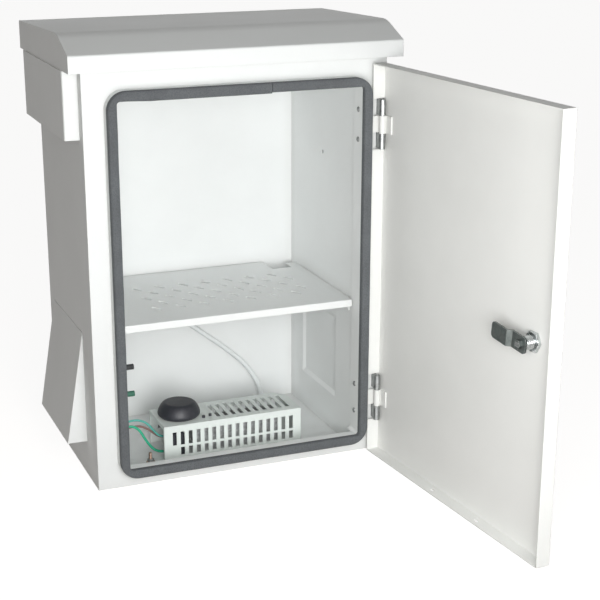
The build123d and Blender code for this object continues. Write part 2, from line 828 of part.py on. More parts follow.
# Heater guard: a folded cover with two rows of slots in front and one on top
guard_x = (from_left(guard_left) + from_left(guard_right)) / 2
guard_half = (guard_right - guard_left) / 2
guard_front_y = from_front(guard_front)
guard_back_y = from_front(guard_back)
guard_top = floor_z + guard_height
guard_middle_y = (guard_front_y + guard_back_y) / 2
with BuildPart() as heater_guard:
    with BuildSketch(Plane.XY.offset(floor_z)):
        with BuildLine():
            Polyline(
                (guard_x - guard_half, guard_front_y),
                (guard_x + guard_half, guard_front_y),
                (guard_x + guard_half, guard_back_y - guard_chamfer),
                (guard_x + guard_half - guard_chamfer, guard_back_y),
                (guard_x - guard_half, guard_back_y),
                close=True,
            )
        make_face()
    extrude(amount=guard_height)
    guard_bottom = heater_guard.faces().sort_by(Axis.Z)[0]
    offset(amount=-guard_sheet, openings=guard_bottom)
    with BuildSketch(facing_back(guard_back_y)):
        with Locations((guard_x, guard_upper_level)):
            with GridLocations(guard_slot_pitch, 0, guard_slot_count, 1):
                Rectangle(guard_slot_width, guard_upper_slot)
        with Locations((guard_x + guard_slot_pitch / 2, guard_lower_level)):
            with GridLocations(guard_slot_pitch, 0, guard_slot_count - 1, 1):
                Rectangle(guard_slot_width, guard_lower_slot)
    extrude(amount=guard_back_y - guard_front_y, mode=Mode.SUBTRACT)
    # Slots in the top, to the right of the control cap
    top_slots = guard_slot_count - guard_top_start
    with BuildSketch(Plane.XY.offset(guard_top)):
        with Locations((guard_x + guard_slot_pitch * guard_top_start / 2, guard_middle_y)):
            with GridLocations(guard_slot_pitch, 0, top_slots, 1):
                Rectangle(guard_slot_width, guard_top_slot)
    extrude(amount=-guard_sheet, mode=Mode.SUBTRACT)
    # Opening in the left end for the leads, and a hole in the back for the supply cable
    with BuildSketch(facing_right(guard_x - guard_half)):
        with Locations((guard_middle_y, floor_z + guard_entry_height / 2)):
            Rectangle(guard_entry_width, guard_entry_height)
    extrude(amount=guard_sheet, mode=Mode.SUBTRACT)
    with BuildSketch(facing_back(guard_back_y)):
        with Locations((from_left(guard_sleeve_place[0]), guard_sleeve_place[1])):
            Circle(supply_sleeve_radius)
    extrude(amount=guard_sheet, mode=Mode.SUBTRACT)
save(heater_guard, "heater_guard")
guard_sleeve_face = Plane(
    origin=(from_left(guard_sleeve_place[0]), guard_back_y, guard_sleeve_place[1]),
    x_dir=(1, 0, 0),
    z_dir=(0, 1, 0),
)
save(supply_end(guard_sleeve_face, guard_sheet), "guard_sleeve")

# Heater body: a finned extrusion on the floor under the guard
with BuildPart() as heater_element:
    heater_left = Plane(
        origin=(from_left(heater_place) - heater_length / 2, guard_middle_y, floor_z),
        x_dir=(0, 1, 0),
        z_dir=(1, 0, 0),
    )
    with BuildSketch(heater_left):
        with Locations((0, heater_foot + heater_base / 2)):
            Rectangle(heater_width, heater_base)
        with Locations((0, heater_foot + heater_base + heater_fin_height / 2)):
            fin_pitch = (heater_width - heater_fin_sheet) / (heater_fin_count - 1)
            with GridLocations(fin_pitch, 0, heater_fin_count, 1):
                Rectangle(heater_fin_sheet, heater_fin_height)
        with Locations((0, heater_foot / 2)):
            with GridLocations(heater_width - heater_foot, 0, 2, 1):
                Rectangle(heater_foot, heater_foot)
    extrude(amount=heater_length)
save(heater_element, "heater_element")

# Control cap: a turned black dome with a skirt
with BuildPart() as control_cap:
    cap_plane = Plane(
        origin=(from_left(cap_place[0]), from_front(cap_place[1]), guard_top),
        x_dir=(1, 0, 0),
        z_dir=(0, -1, 0),
    )
    with BuildSketch(cap_plane):
        with BuildLine():
            Polyline(
                (cap_radius - cap_round, 0),
                (0, 0),
                (0, cap_height),
                (cap_top_radius - cap_round, cap_height),
            )
            Spline(
                (cap_top_radius - cap_round, cap_height),
                (cap_top_radius + cap_round, cap_height - cap_round),
                (cap_radius - cap_lean, cap_height / 2),
                (cap_radius, cap_skirt),
                (cap_radius - cap_round, 0),
                tangents=[(1, 0), (-1, -1)],
            )
        make_face()
    revolve(axis=Axis(cap_plane.origin, (0, 0, 1)))
save(control_cap, "control_cap")

# Two small black screws on the guard's top beside the cap
with BuildPart() as guard_screws:
    for mark_x, mark_y in cap_marks:
        with BuildSketch(Plane.XY.offset(guard_top)):
            with Locations((from_left(mark_x), from_front(mark_y))):
                Circle(cap_mark_radius)
        extrude(amount=cap_mark_height)
save(guard_screws, "guard_screws")

# Earth stud through the floor, with its washer and nut
stud_x = from_left(stud_place[0])
stud_y = from_front(stud_place[1])
with BuildPart() as earth_stud:
    with BuildSketch(Plane.XY):
        with Locations((stud_x, stud_y)):
            Circle(stud_radius)
    extrude(amount=floor_z + stud_height)
    with BuildSketch(Plane.XY.offset(floor_z)):
        with Locations((stud_x, stud_y)):
            Circle(washer_radius)
    extrude(amount=washer_height)
    chamfer(earth_stud.edges().group_by(Axis.Z)[-1], stud_chamfer)
save(earth_stud, "earth_stud")

with BuildPart() as earth_nut:
    with BuildSketch(Plane.XY.offset(floor_z + washer_height)):
        with Locations((stud_x, stud_y)):
            RegularPolygon(earth_nut_width / 2, 6, major_radius=False)
            Circle(stud_radius + pin_fit, mode=Mode.SUBTRACT)
    extrude(amount=earth_nut_height)
save(earth_nut, "earth_nut")

# Door panel: a folded pan, drawn closed and swung open about the hinge pins
with BuildPart() as door_panel:
    with BuildSketch(swung(Plane.XY.offset(door_bottom))):
        with Locations((0, (door_outer_y + door_lip_y) / 2)):
            Rectangle(2 * door_half, door_lip_y - door_outer_y)
    extrude(amount=door_height)
    hollow_depth = door_lip_y - door_inner_y
    with BuildSketch(swung(facing_back(door_lip_y))):
        with Locations((0, door_middle_z)):
            Rectangle(2 * (door_half - door_sheet), door_height - 2 * door_sheet)
    extrude(amount=hollow_depth, mode=Mode.SUBTRACT)
    # Drain holes in the bottom lip
    with BuildSketch(swung(Plane.XY.offset(door_bottom))):
        with Locations([(x, door_lip_y - drain_inset) for x in drain_places]):
            SlotOverall(drain_length, drain_width)
    extrude(amount=door_sheet, mode=Mode.SUBTRACT)
    # Cut-outs in the hinge side's lip, which the fixed arms pass through
    with BuildSketch(swung(facing_right(door_half - door_sheet))):
        for level in hinge_levels:
            for z in (level, level + hinge_height - fixed_knuckle_height):
                with Locations(((door_lip_y + door_inner_y) / 2, z + fixed_knuckle_height / 2)):
                    Rectangle(hollow_depth, fixed_knuckle_height + 2 * knuckle_cut_margin)
    extrude(amount=door_sheet, mode=Mode.SUBTRACT)
    # Hole for the lock
    with BuildSketch(swung(facing_back(door_inner_y))):
        with Locations((lock_x, lock_level)):
            Circle(lock_body_radius + screw_play)
    extrude(amount=door_sheet, mode=Mode.SUBTRACT)
save(door_panel, "door_panel")

# Hinges: fixed knuckles on a leaf in the duct, the door's knuckle on the panel, and the pin
leaf_x = jamb_back_x
plate_middle_y = front_y - leaf_forward + leaf_depth / 2


def frame_leaf(level):
    """Builds the fixed leaf: a plate on the jamb, a web behind the face, and two arms."""
    web_right = hinge_x + arm_thickness / 2 + leaf_reach
    with BuildPart() as piece:
        with BuildSketch(Plane.XY.offset(level)):
            with Locations((leaf_x + leaf_thickness / 2, plate_middle_y)):
                Rectangle(leaf_thickness, leaf_depth)
            with Locations(((leaf_x + web_right) / 2, shell_front_y + leaf_thickness / 2)):
                Rectangle(web_right - leaf_x, leaf_thickness)
        extrude(amount=hinge_height)
        with BuildSketch(facing_right(leaf_x)):
            with Locations((from_front(jamb_screw_depth), level + hinge_height / 2)):
                with GridLocations(0, hinge_height - 2 * screw_side, 1, 2):
                    Circle(screw_radius + screw_play)
        extrude(amount=leaf_thickness, mode=Mode.SUBTRACT)
        for z in (level, level + hinge_height - fixed_knuckle_height):
            with BuildSketch(Plane.XY.offset(z)):
                with Locations((hinge_x, hinge_y)):
                    Circle(knuckle_radius)
                with Locations((hinge_x, (hinge_y + shell_front_y) / 2)):
                    Rectangle(arm_thickness, shell_front_y - hinge_y)
                with Locations((hinge_x, hinge_y)):
                    Circle(pin_radius + pin_fit, mode=Mode.SUBTRACT)
            extrude(amount=fixed_knuckle_height)
    return piece


def door_leaf(level):
    """Builds the door's leaf: the middle knuckle, its web and a plate on the panel."""
    base = level + fixed_knuckle_height + knuckle_gap
    leaf_left = hinge_x - door_leaf_width
    with BuildPart() as piece:
        with BuildSketch(swung(Plane.XY.offset(base))):
            with Locations((hinge_x, hinge_y)):
                Circle(knuckle_radius)
            with Locations((hinge_x, (hinge_y + door_inner_y) / 2)):
                Rectangle(arm_thickness, hinge_y - door_inner_y)
            with Locations(((leaf_left + hinge_x) / 2, door_inner_y + door_leaf_thickness / 2)):
                Rectangle(hinge_x - leaf_left, door_leaf_thickness)
            with Locations((hinge_x, hinge_y)):
                Circle(pin_radius + pin_running, mode=Mode.SUBTRACT)
        extrude(amount=door_knuckle_height)
    return piece


def hinge_pin(level):
    """Builds the pin, with a domed head on top of the upper knuckle."""
    with BuildPart() as piece:
        with BuildSketch(Plane.XY.offset(level)):
            with Locations((hinge_x, hinge_y)):
                Circle(pin_radius)
        extrude(amount=hinge_height)
        with BuildSketch(Plane.XY.offset(level + hinge_height)):
            with Locations((hinge_x, hinge_y)):
                Circle(pin_head_radius)
        extrude(amount=pin_head_height)
        fillet(piece.edges().group_by(Axis.Z)[-1], pin_head_round)
    return piece


for level, level_name in zip(hinge_levels, ("upper", "lower")):
    save(frame_leaf(level), f"{level_name}_hinge_frame_leaf")
    save(door_leaf(level), f"{level_name}_hinge_door_leaf")
    save(hinge_pin(level), f"{level_name}_hinge_pin")

# Screws through the jamb into the hinge leaves
with BuildPart() as hinge_screws:
    for level in hinge_levels:
        for z in (level + screw_side, level + hinge_height - screw_side):
            screw = Plane(
                origin=(jamb_x, from_front(jamb_screw_depth), z),
                x_dir=(0, 1, 0),
                z_dir=(1, 0, 0),
            )
            with BuildSketch(screw):
                Circle(screw_radius)
            extrude(amount=shell_sheet + leaf_thickness)
            with BuildSketch(screw):
                Circle(screw_head_radius)
                RegularPolygon(screw_socket, 6, mode=Mode.SUBTRACT)
            extrude(amount=-screw_head_height)
save(hinge_screws, "hinge_screws")

# Lock: a housing through the panel with its nut, and a core that turns the cam
def across_lock(y):
    """A plane across the lock's axis at this Y of the closed door, facing inwards."""
    return Plane(origin=(lock_x, y, lock_level), x_dir=(1, 0, 0), z_dir=(0, 1, 0))


housing_front_y = door_outer_y - lock_flange_height
housing_back_y = cam_hub_y - cam_gap
with BuildPart() as lock_housing:
    with BuildSketch(swung(across_lock(housing_front_y))):
        Circle(lock_flange_radius)
    extrude(amount=lock_flange_height)
    fillet(lock_housing.edges().group_by(Axis.X)[-1], lock_flange_round)
    with BuildSketch(swung(across_lock(door_outer_y))):
        Circle(lock_body_radius)
    extrude(amount=housing_back_y - door_outer_y)
    with BuildSketch(swung(across_lock(housing_front_y))):
        Circle(lock_core_radius + lock_core_fit)
    extrude(amount=housing_back_y - housing_front_y, mode=Mode.SUBTRACT)
save(lock_housing, "lock_housing")

with BuildPart() as lock_nut:
    with BuildSketch(swung(across_lock(door_inner_y))):
        RegularPolygon(lock_nut_width / 2, 6, major_radius=False)
        Circle(lock_body_radius + pin_fit, mode=Mode.SUBTRACT)
    extrude(amount=lock_nut_height)
save(lock_nut, "lock_nut")

with BuildPart() as lock_core:
    with BuildSketch(turned(across_lock(housing_front_y))):
        Circle(lock_core_radius)
    extrude(amount=cam_hub_y - housing_front_y)
    with BuildSketch(turned(across_lock(cam_hub_y))):
        Rectangle(cam_stem_width, cam_stem_height)
    extrude(amount=cam_sheet + cam_nut_height)
    with BuildSketch(turned(across_lock(housing_front_y))):
        Rectangle(key_slot_width, key_slot_length)
    extrude(amount=key_slot_depth, mode=Mode.SUBTRACT)
save(lock_core, "lock_core")

# Cam: a strip with a step, cut to a rounded outline
cam_hub_end = cam_width / 2
cam_profile = turned(Plane.XY.offset(lock_level - cam_width / 2))
with BuildPart() as lock_cam:
    with BuildSketch(cam_profile):
        with BuildLine():
            Polyline(
                (lock_x - cam_hub_end, cam_hub_y),
                (lock_x + cam_step_start, cam_hub_y),
                (lock_x + cam_step_start + cam_step_length, cam_y),
                (lock_x + cam_reach, cam_y),
                (lock_x + cam_reach, cam_y + cam_sheet),
                (lock_x + cam_step_start + cam_step_length - cam_sheet / 2, cam_y + cam_sheet),
                (lock_x + cam_step_start - cam_sheet / 2, cam_hub_y + cam_sheet),
                (lock_x - cam_hub_end, cam_hub_y + cam_sheet),
                close=True,
            )
        make_face()
    extrude(amount=cam_width)
    with BuildSketch(turned(across_lock(cam_hub_y))):
        with Locations(((cam_reach - cam_hub_end) / 2, 0)):
            RectangleRounded(cam_reach + cam_hub_end, cam_width, cam_round)
        Circle(cam_hub_end)
        Rectangle(
            cam_stem_width + 2 * screw_play,
            cam_stem_height + 2 * screw_play,
            mode=Mode.SUBTRACT,
        )
    extrude(amount=cam_step + cam_sheet, mode=Mode.INTERSECT)
save(lock_cam, "lock_cam")

with BuildPart() as cam_nut:
    with BuildSketch(turned(across_lock(cam_hub_y + cam_sheet))):
        RegularPolygon(cam_nut_width / 2, 6, major_radius=False)
        Rectangle(cam_stem_width, cam_stem_height, mode=Mode.SUBTRACT)
    extrude(amount=cam_nut_height)
save(cam_nut, "cam_nut")

# Floor grommets: blind rubber plugs with a dished top
with BuildPart() as floor_grommets:
    with BuildSketch(Plane.XY):
        with Locations(floor_grommet_places):
            Circle(floor_grommet_radius)
    extrude(amount=floor_z)
    with BuildSketch(Plane.XY.offset(floor_z)):
        with Locations(floor_grommet_places):
            Circle(floor_grommet_radius + floor_grommet_lip)
    extrude(amount=floor_grommet_height)
    chamfer(floor_grommets.edges().group_by(Axis.Z)[-1], floor_grommet_lip / 2)
    with BuildSketch(Plane.XY.offset(floor_z + floor_grommet_height)):
        with Locations(floor_grommet_places):
            Circle(floor_grommet_radius - floor_grommet_lip)
    extrude(amount=-floor_grommet_dish, mode=Mode.SUBTRACT)
save(floor_grommets, "floor_grommets")

# Terminal block on the floor inside the guard, where the leads end
block_left = from_left(block_place[0])
block_front = from_front(block_place[1])
with BuildPart() as terminal_block:
    with BuildSketch(Plane.XY.offset(floor_z)):
        with Locations((block_left + block_length / 2, block_front + block_width / 2)):
            Rectangle(block_length, block_width)
    extrude(amount=block_height)
    chamfer(terminal_block.edges().filter_by(Axis.Y).group_by(Axis.Z)[-1], block_chamfer)
save(terminal_block, "terminal_block")


def cord_radii(points):
    """Gives the arc at each inner point, from a share of its shorter run and half its turn."""
    radii = []
    for before, here, after in zip(points, points[1:], points[2:]):
        run_in = Vector(*here) - Vector(*before)
        run_out = Vector(*after) - Vector(*here)
        half_turn = math.radians(run_in.get_angle(run_out)) / 2
        radii.append(arc_share * min(run_in.length, run_out.length) / math.tan(half_turn))
    return radii


def cord(points, diameter, name):
    """Sweeps a round lead along straight runs joined by arcs."""
    route = [(from_left(x), from_front(y), z) for x, y, z in points]
    radii = cord_radii(route)
    with BuildPart() as piece:
        with BuildLine() as path:
            FilletPolyline(*route, radius=radii)
        start = Plane(origin=path.line @ 0, z_dir=path.line % 0)
        with BuildSketch(start):
            Circle(diameter / 2)
        sweep(path=path.line)
    print(name, "arc radii", [round(radius, 1) for radius in radii])
    length = sum(edge.length for edge in path.edges())
    filled = piece.part.volume / (math.pi * diameter**2 / 4)
    print(name, "length", round(length, 1), "volume over section", round(filled, 1))
    save(piece, name)


# Leads from the left wall's grommet to the terminal block, through the guard's open end
lead_start = inner_left_face + sleeve_lip_height
cable_back = body_depth - supply_wall_gap
green_route = (
    (lead_start, 72.0, 51.0),
    (52.0, 72.0, 51.0),
    (64.0, 69.0, 55.0),
    (75.0, 68.0, 49.0),
    (84.0, 68.0, 31.0),
    (95.0, 71.0, 15.0),
    (108.0, 77.0, 7.0),
    (block_place[0], 77.0, 7.0),
)
teal_route = (
    (lead_start, 81.0, 54.0),
    (54.0, 81.0, 54.0),
    (67.0, 84.0, 56.0),
    (81.0, 86.0, 54.5),
    (93.0, 86.0, 47.0),
    (101.0, 85.0, 35.0),
    (110.0, 84.0, 26.0),
    (block_place[0], 84.0, 26.0),
)
brown_route = (
    (lead_start, 77.0, 47.0),
    (54.0, 77.0, 47.0),
    (67.0, 78.5, 49.0),
    (80.0, 81.0, 48.0),
    (93.0, 87.0, 39.0),
    (103.0, 92.0, 29.0),
    (112.0, 93.0, 22.0),
    (block_place[0], 93.0, 22.0),
)
supply_route = (
    (inner_left_face + supply_sleeve_length, *supply_sleeve_place),
    (92.0, *supply_sleeve_place),
    (135.0, cable_back - 1.0, 180.0),
    (177.0, cable_back, 153.0),
    (216.7, cable_back, 121.0),
    (256.0, cable_back, 90.0),
    (290.0, cable_back - 1.0, 58.0),
    (309.0, 222.0, 22.0),
    (299.0, 194.0, 6.5),
    (guard_sleeve_place[0], 166.0, guard_sleeve_place[1]),
    (guard_sleeve_place[0], guard_back + supply_sleeve_length, guard_sleeve_place[1]),
)
cord(supply_route, supply_diameter, "supply_cable")
cord(green_route, green_lead, "green_lead")
cord(teal_route, teal_lead, "teal_lead")
cord(brown_route, brown_lead, "brown_lead")
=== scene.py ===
import math

import bmesh
import bpy
from mathutils import Matrix, Vector, noise


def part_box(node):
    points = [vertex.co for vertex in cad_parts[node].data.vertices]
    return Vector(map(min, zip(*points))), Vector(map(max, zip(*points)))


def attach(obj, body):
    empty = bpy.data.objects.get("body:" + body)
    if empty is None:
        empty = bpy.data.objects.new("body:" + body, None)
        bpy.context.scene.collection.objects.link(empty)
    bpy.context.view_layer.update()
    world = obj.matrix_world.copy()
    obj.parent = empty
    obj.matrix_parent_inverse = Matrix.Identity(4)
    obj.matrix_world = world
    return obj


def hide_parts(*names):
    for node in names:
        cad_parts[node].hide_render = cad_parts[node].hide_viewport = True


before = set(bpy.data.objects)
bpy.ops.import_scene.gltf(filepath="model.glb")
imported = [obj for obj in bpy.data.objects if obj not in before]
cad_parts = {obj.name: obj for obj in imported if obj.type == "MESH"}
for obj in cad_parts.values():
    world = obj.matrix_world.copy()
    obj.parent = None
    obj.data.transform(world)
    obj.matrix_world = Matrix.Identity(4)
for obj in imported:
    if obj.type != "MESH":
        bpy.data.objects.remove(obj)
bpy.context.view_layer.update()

# A small street cabinet with its door open. Metres, X to the right, Y to the back, Z up.
print("frame loaded:", len(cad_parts), "nodes")

scene = bpy.context.scene


def linear(red, green, blue):
    # a colour picked on screen, 0 to 255, as the shader wants it
    shares = [level / 255 for level in (red, green, blue)]
    return tuple(((share + 0.055) / 1.055) ** 2.4 for share in shares) + (1.0,)


# Camera, at the height and side that the cabinet was looked at from
view = {
    "place": (-0.6010, -1.7833, 0.7763),
    "forward": (0.350, 0.883, -0.3127),
    "right": (0.9295, -0.3688, -0.0013),
    "lens": 85.8,
    "shift": (0.0257, 0.051),
}


def makeCamera():
    data = bpy.data.cameras.new("viewCamera")
    data.lens = view["lens"]
    data.sensor_width = 36.0
    data.shift_x, data.shift_y = view["shift"]
    camera = bpy.data.objects.new("viewCamera", data)
    scene.collection.objects.link(camera)
    back = -Vector(view["forward"]).normalized()
    up = back.cross(Vector(view["right"])).normalized()
    right = up.cross(back)
    turn = Matrix((right, up, back)).transposed().to_4x4()
    camera.matrix_world = Matrix.Translation(view["place"]) @ turn
    scene.camera = camera


makeCamera()
print("camera placed")


# Node helpers
def addNode(tree, kind, **settings):
    node = tree.nodes.new(kind)
    for key, value in settings.items():
        if key in node.inputs:
            node.inputs[key].default_value = value
        else:
            setattr(node, key, value)
    return node


def wire(tree, source, target):
    tree.links.new(source, target)


def mathNode(tree, operation, first, second, clamp=False):
    node = addNode(tree, "ShaderNodeMath", operation=operation, use_clamp=clamp)
    for socket, value in zip(node.inputs, (first, second)):
        if isinstance(value, (int, float)):
            socket.default_value = value
        else:
            wire(tree, value, socket)
    return node.outputs[0]


def mixColour(tree, factor, first, second):
    node = addNode(tree, "ShaderNodeMix", data_type="RGBA")
    for socket, value in ((node.inputs[0], factor), (node.inputs[6], first), (node.inputs[7], second)):
        if isinstance(value, (int, float, tuple)):
            socket.default_value = value
        else:
            wire(tree, value, socket)
    return node.outputs[2]


def spread(tree, value, low, high, toLow=0.0, toHigh=1.0):
    node = addNode(tree, "ShaderNodeMapRange")
    wire(tree, value, node.inputs[0])
    for socket, number in zip(node.inputs[1:5], (low, high, toLow, toHigh)):
        socket.default_value = number
    return node.outputs[0]


# Studio: a white surround for the eye and for gloss, a soft key and an even fill for the object
studio = {
    "fill": linear(146, 147, 148),
    "fillLeft": linear(130, 122, 114),
    "fillAbove": linear(86, 87, 84),
    "fillStrength": 1.0,
    "lamps": {
        "keyLamp": {"place": (-0.42, -2.45, 0.66), "aim": (0.05, -0.15, 0.28), "size": 1.1, "power": 25.5},
        "doorLamp": {"place": (-0.19, -0.95, 0.40), "aim": (0.20, -0.34, 0.27), "size": 0.5, "power": 4.4},
    },
    "floorHalf": 30.0,
    "floorColour": (0.30, 0.28, 0.26, 1.0),
    "floorGlow": 0.90,
}


def seenDirectly(tree):
    # one for camera, gloss and transmission rays, nothing for diffuse ones
    path = addNode(tree, "ShaderNodeLightPath")
    seen = mathNode(tree, "MAXIMUM", path.outputs["Is Camera Ray"], path.outputs["Is Glossy Ray"])
    return mathNode(tree, "MAXIMUM", seen, path.outputs["Is Transmission Ray"])


def makeStudio():
    world = bpy.data.worlds.new("softRoom")
    scene.world = world
    world.use_nodes = True
    tree = world.node_tree
    tree.nodes.clear()
    coords = addNode(tree, "ShaderNodeTexCoord")
    axes = addNode(tree, "ShaderNodeSeparateXYZ")
    wire(tree, coords.outputs["Generated"], axes.inputs[0])
    leftward = spread(tree, axes.outputs[0], 0.1, -0.9)
    upward = spread(tree, axes.outputs[2], 0.15, 0.95)
    room = mixColour(tree, leftward, studio["fill"], studio["fillLeft"])
    room = mixColour(tree, upward, room, studio["fillAbove"])
    fill = addNode(tree, "ShaderNodeBackground", Strength=studio["fillStrength"])
    wire(tree, room, fill.inputs["Color"])
    white = addNode(tree, "ShaderNodeBackground", Color=(1, 1, 1, 1), Strength=1.0)
    pick = addNode(tree, "ShaderNodeMixShader")
    out = addNode(tree, "ShaderNodeOutputWorld")
    wire(tree, seenDirectly(tree), pick.inputs[0])
    wire(tree, fill.outputs[0], pick.inputs[1])
    wire(tree, white.outputs[0], pick.inputs[2])
    wire(tree, pick.outputs[0], out.inputs[0])

    for name, lamp in studio["lamps"].items():
        data = bpy.data.lights.new(name, "AREA")
        data.shape = "DISK"
        data.size = lamp["size"]
        data.energy = lamp["power"]
        light = bpy.data.objects.new(name, data)
        scene.collection.objects.link(light)
        aim = Vector(lamp["aim"]) - Vector(lamp["place"])
        turn = aim.to_track_quat("-Z", "Y").to_matrix().to_4x4()
        light.matrix_world = Matrix.Translation(lamp["place"]) @ turn

    material = bpy.data.materials.new("floorPaper")
    material.use_nodes = True
    tree = material.node_tree
    tree.nodes.clear()
    paper = addNode(tree, "ShaderNodeBsdfDiffuse", Color=studio["floorColour"])
    glow = addNode(tree, "ShaderNodeEmission", Color=(1, 1, 1, 1))
    strength = mathNode(tree, "MULTIPLY", seenDirectly(tree), studio["floorGlow"])
    wire(tree, strength, glow.inputs["Strength"])
    both = addNode(tree, "ShaderNodeAddShader")
    out = addNode(tree, "ShaderNodeOutputMaterial")
    wire(tree, paper.outputs[0], both.inputs[0])
    wire(tree, glow.outputs[0], both.inputs[1])
    wire(tree, both.outputs[0], out.inputs[0])

    bm = bmesh.new()
    bmesh.ops.create_grid(bm, x_segments=1, y_segments=1, size=studio["floorHalf"])
    mesh = bpy.data.meshes.new("floor")
    bm.to_mesh(mesh)
    bm.free()
    mesh.materials.append(material)
    floor = bpy.data.objects.new("floor", mesh)
    scene.collection.objects.link(floor)
    scene.view_settings.view_transform = "Standard"


makeStudio()
print("studio lit")


# Shared effects, as node groups
def newGroup(name, inputs, outputs):
    group = bpy.data.node_groups.new(name, "ShaderNodeTree")
    for label, kind, value in inputs:
        socket = group.interface.new_socket(label, in_out="INPUT", socket_type=kind)
        socket.default_value = value
    for label, kind in outputs:
        group.interface.new_socket(label, in_out="OUTPUT", socket_type=kind)
    source = group.nodes.new("NodeGroupInput")
    sink = group.nodes.new("NodeGroupOutput")
    return group, source.outputs, sink.inputs


colourKind, numberKind, vectorKind = "NodeSocketColor", "NodeSocketFloat", "NodeSocketVector"
surfaceOutputs = (("Color", colourKind), ("Roughness", numberKind), ("Normal", vectorKind))
# pale colour for the painted highlight on sharp paint edges
paintedEdgeHighlight = (0.93, 0.93, 0.92, 1.0)
metalEdge = (0.78, 0.78, 0.76, 1.0)
# colour of the dust and of the painted shade in inner corners
dustAndShadeColour = (0.30, 0.275, 0.24, 1.0)


def noiseOn(tree, coords, scale, detail=2.0, roughness=0.5):
    node = addNode(tree, "ShaderNodeTexNoise", Detail=detail, Roughness=roughness)
    wire(tree, coords, node.inputs["Vector"])
    if isinstance(scale, (int, float)):
        node.inputs["Scale"].default_value = scale
    else:
        wire(tree, scale, node.inputs["Scale"])
    return node.outputs[0]


def edgeAndCorner(tree, radius):
    # softened normal, a mask of sharp outer edges and a mask of inner corners
    bevel = addNode(tree, "ShaderNodeBevel", samples=4)
    wire(tree, radius, bevel.inputs["Radius"])
    geometry = addNode(tree, "ShaderNodeNewGeometry")
    dot = addNode(tree, "ShaderNodeVectorMath", operation="DOT_PRODUCT")
    wire(tree, bevel.outputs[0], dot.inputs[0])
    wire(tree, geometry.outputs["Normal"], dot.inputs[1])
    edge = spread(tree, dot.outputs["Value"], 0.995, 0.86)
    shade = addNode(tree, "ShaderNodeAmbientOcclusion", samples=4, Distance=0.018)
    corner = mathNode(tree, "SUBTRACT", 1.0, shade.outputs["AO"], clamp=True)
    return bevel.outputs[0], edge, corner, geometry.outputs["Normal"]


def powderCoatGroup():
    group, given, made = newGroup(
        "powderCoat",
        (
            ("Paint", colourKind, (0.8, 0.8, 0.8, 1.0)),
            ("Peel Scale", numberKind, 620.0),
            ("Peel Depth", numberKind, 0.00004),
            ("Edge Radius", numberKind, 0.0007),
            # strength of the dust and of the painted shade in inner corners
            ("Dust And Shade", numberKind, 0.3),
            ("Gloss", numberKind, 0.42),
        ),
        surfaceOutputs,
    )
    place = addNode(group, "ShaderNodeTexCoord").outputs["Object"]
    softNormal, edge, corner, normal = edgeAndCorner(group, given["Edge Radius"])
    peel = noiseOn(group, place, given["Peel Scale"], 2.0, 0.45)
    fleck = noiseOn(group, place, 2400.0, 1.0)
    cloud = noiseOn(group, place, 7.0, 4.0, 0.55)
    upness = addNode(group, "ShaderNodeSeparateXYZ")
    wire(group, normal, upness.inputs[0])

    # tone drifts a little over a sheet, and fine flecks break it up
    toneFactor = spread(group, cloud, 0.3, 0.7, 0.965, 1.02)
    fleckFactor = spread(group, fleck, 0.35, 0.65, 0.985, 1.012)
    tone = mathNode(group, "MULTIPLY", toneFactor, fleckFactor)
    scaled = addNode(group, "ShaderNodeVectorMath", operation="SCALE")
    wire(group, given["Paint"], scaled.inputs[0])
    wire(group, tone, scaled.inputs["Scale"])
    # sharp outer edges lightened towards a pale colour: a painted highlight
    edgeHighlighted = mixColour(group, mathNode(group, "MULTIPLY", edge, 0.22), scaled.outputs[0], paintedEdgeHighlight)

    # painted shade darkening the inner corners, from the occlusion mask, and real dust, thinner, on what faces
    # up
    settled = spread(group, upness.outputs[2], 0.55, 1.0, 0.0, 0.35)
    patchy = spread(group, cloud, 0.38, 0.68)
    lying = mathNode(group, "MULTIPLY", settled, patchy)
    # inner corners darkened towards the dust colour by occlusion: painted shade
    paintedCornerShade = mathNode(group, "MULTIPLY", corner, 0.75)
    dustAndShadeMask = mathNode(group, "MAXIMUM", lying, paintedCornerShade)
    dustAndCornerShade = mathNode(group, "MULTIPLY", dustAndShadeMask, given["Dust And Shade"], clamp=True)
    coloured = mixColour(group, dustAndCornerShade, edgeHighlighted, dustAndShadeColour)

    rough = mathNode(group, "ADD", given["Gloss"], spread(group, peel, 0.3, 0.7, -0.03, 0.05))
    rough = mathNode(group, "ADD", rough, mathNode(group, "MULTIPLY", dustAndCornerShade, 0.35), clamp=True)
    bump = addNode(group, "ShaderNodeBump", Strength=0.8)
    wire(group, peel, bump.inputs["Height"])
    wire(group, given["Peel Depth"], bump.inputs["Distance"])
    wire(group, softNormal, bump.inputs["Normal"])
    wire(group, coloured, made["Color"])
    wire(group, rough, made["Roughness"])
    wire(group, bump.outputs[0], made["Normal"])
    return group


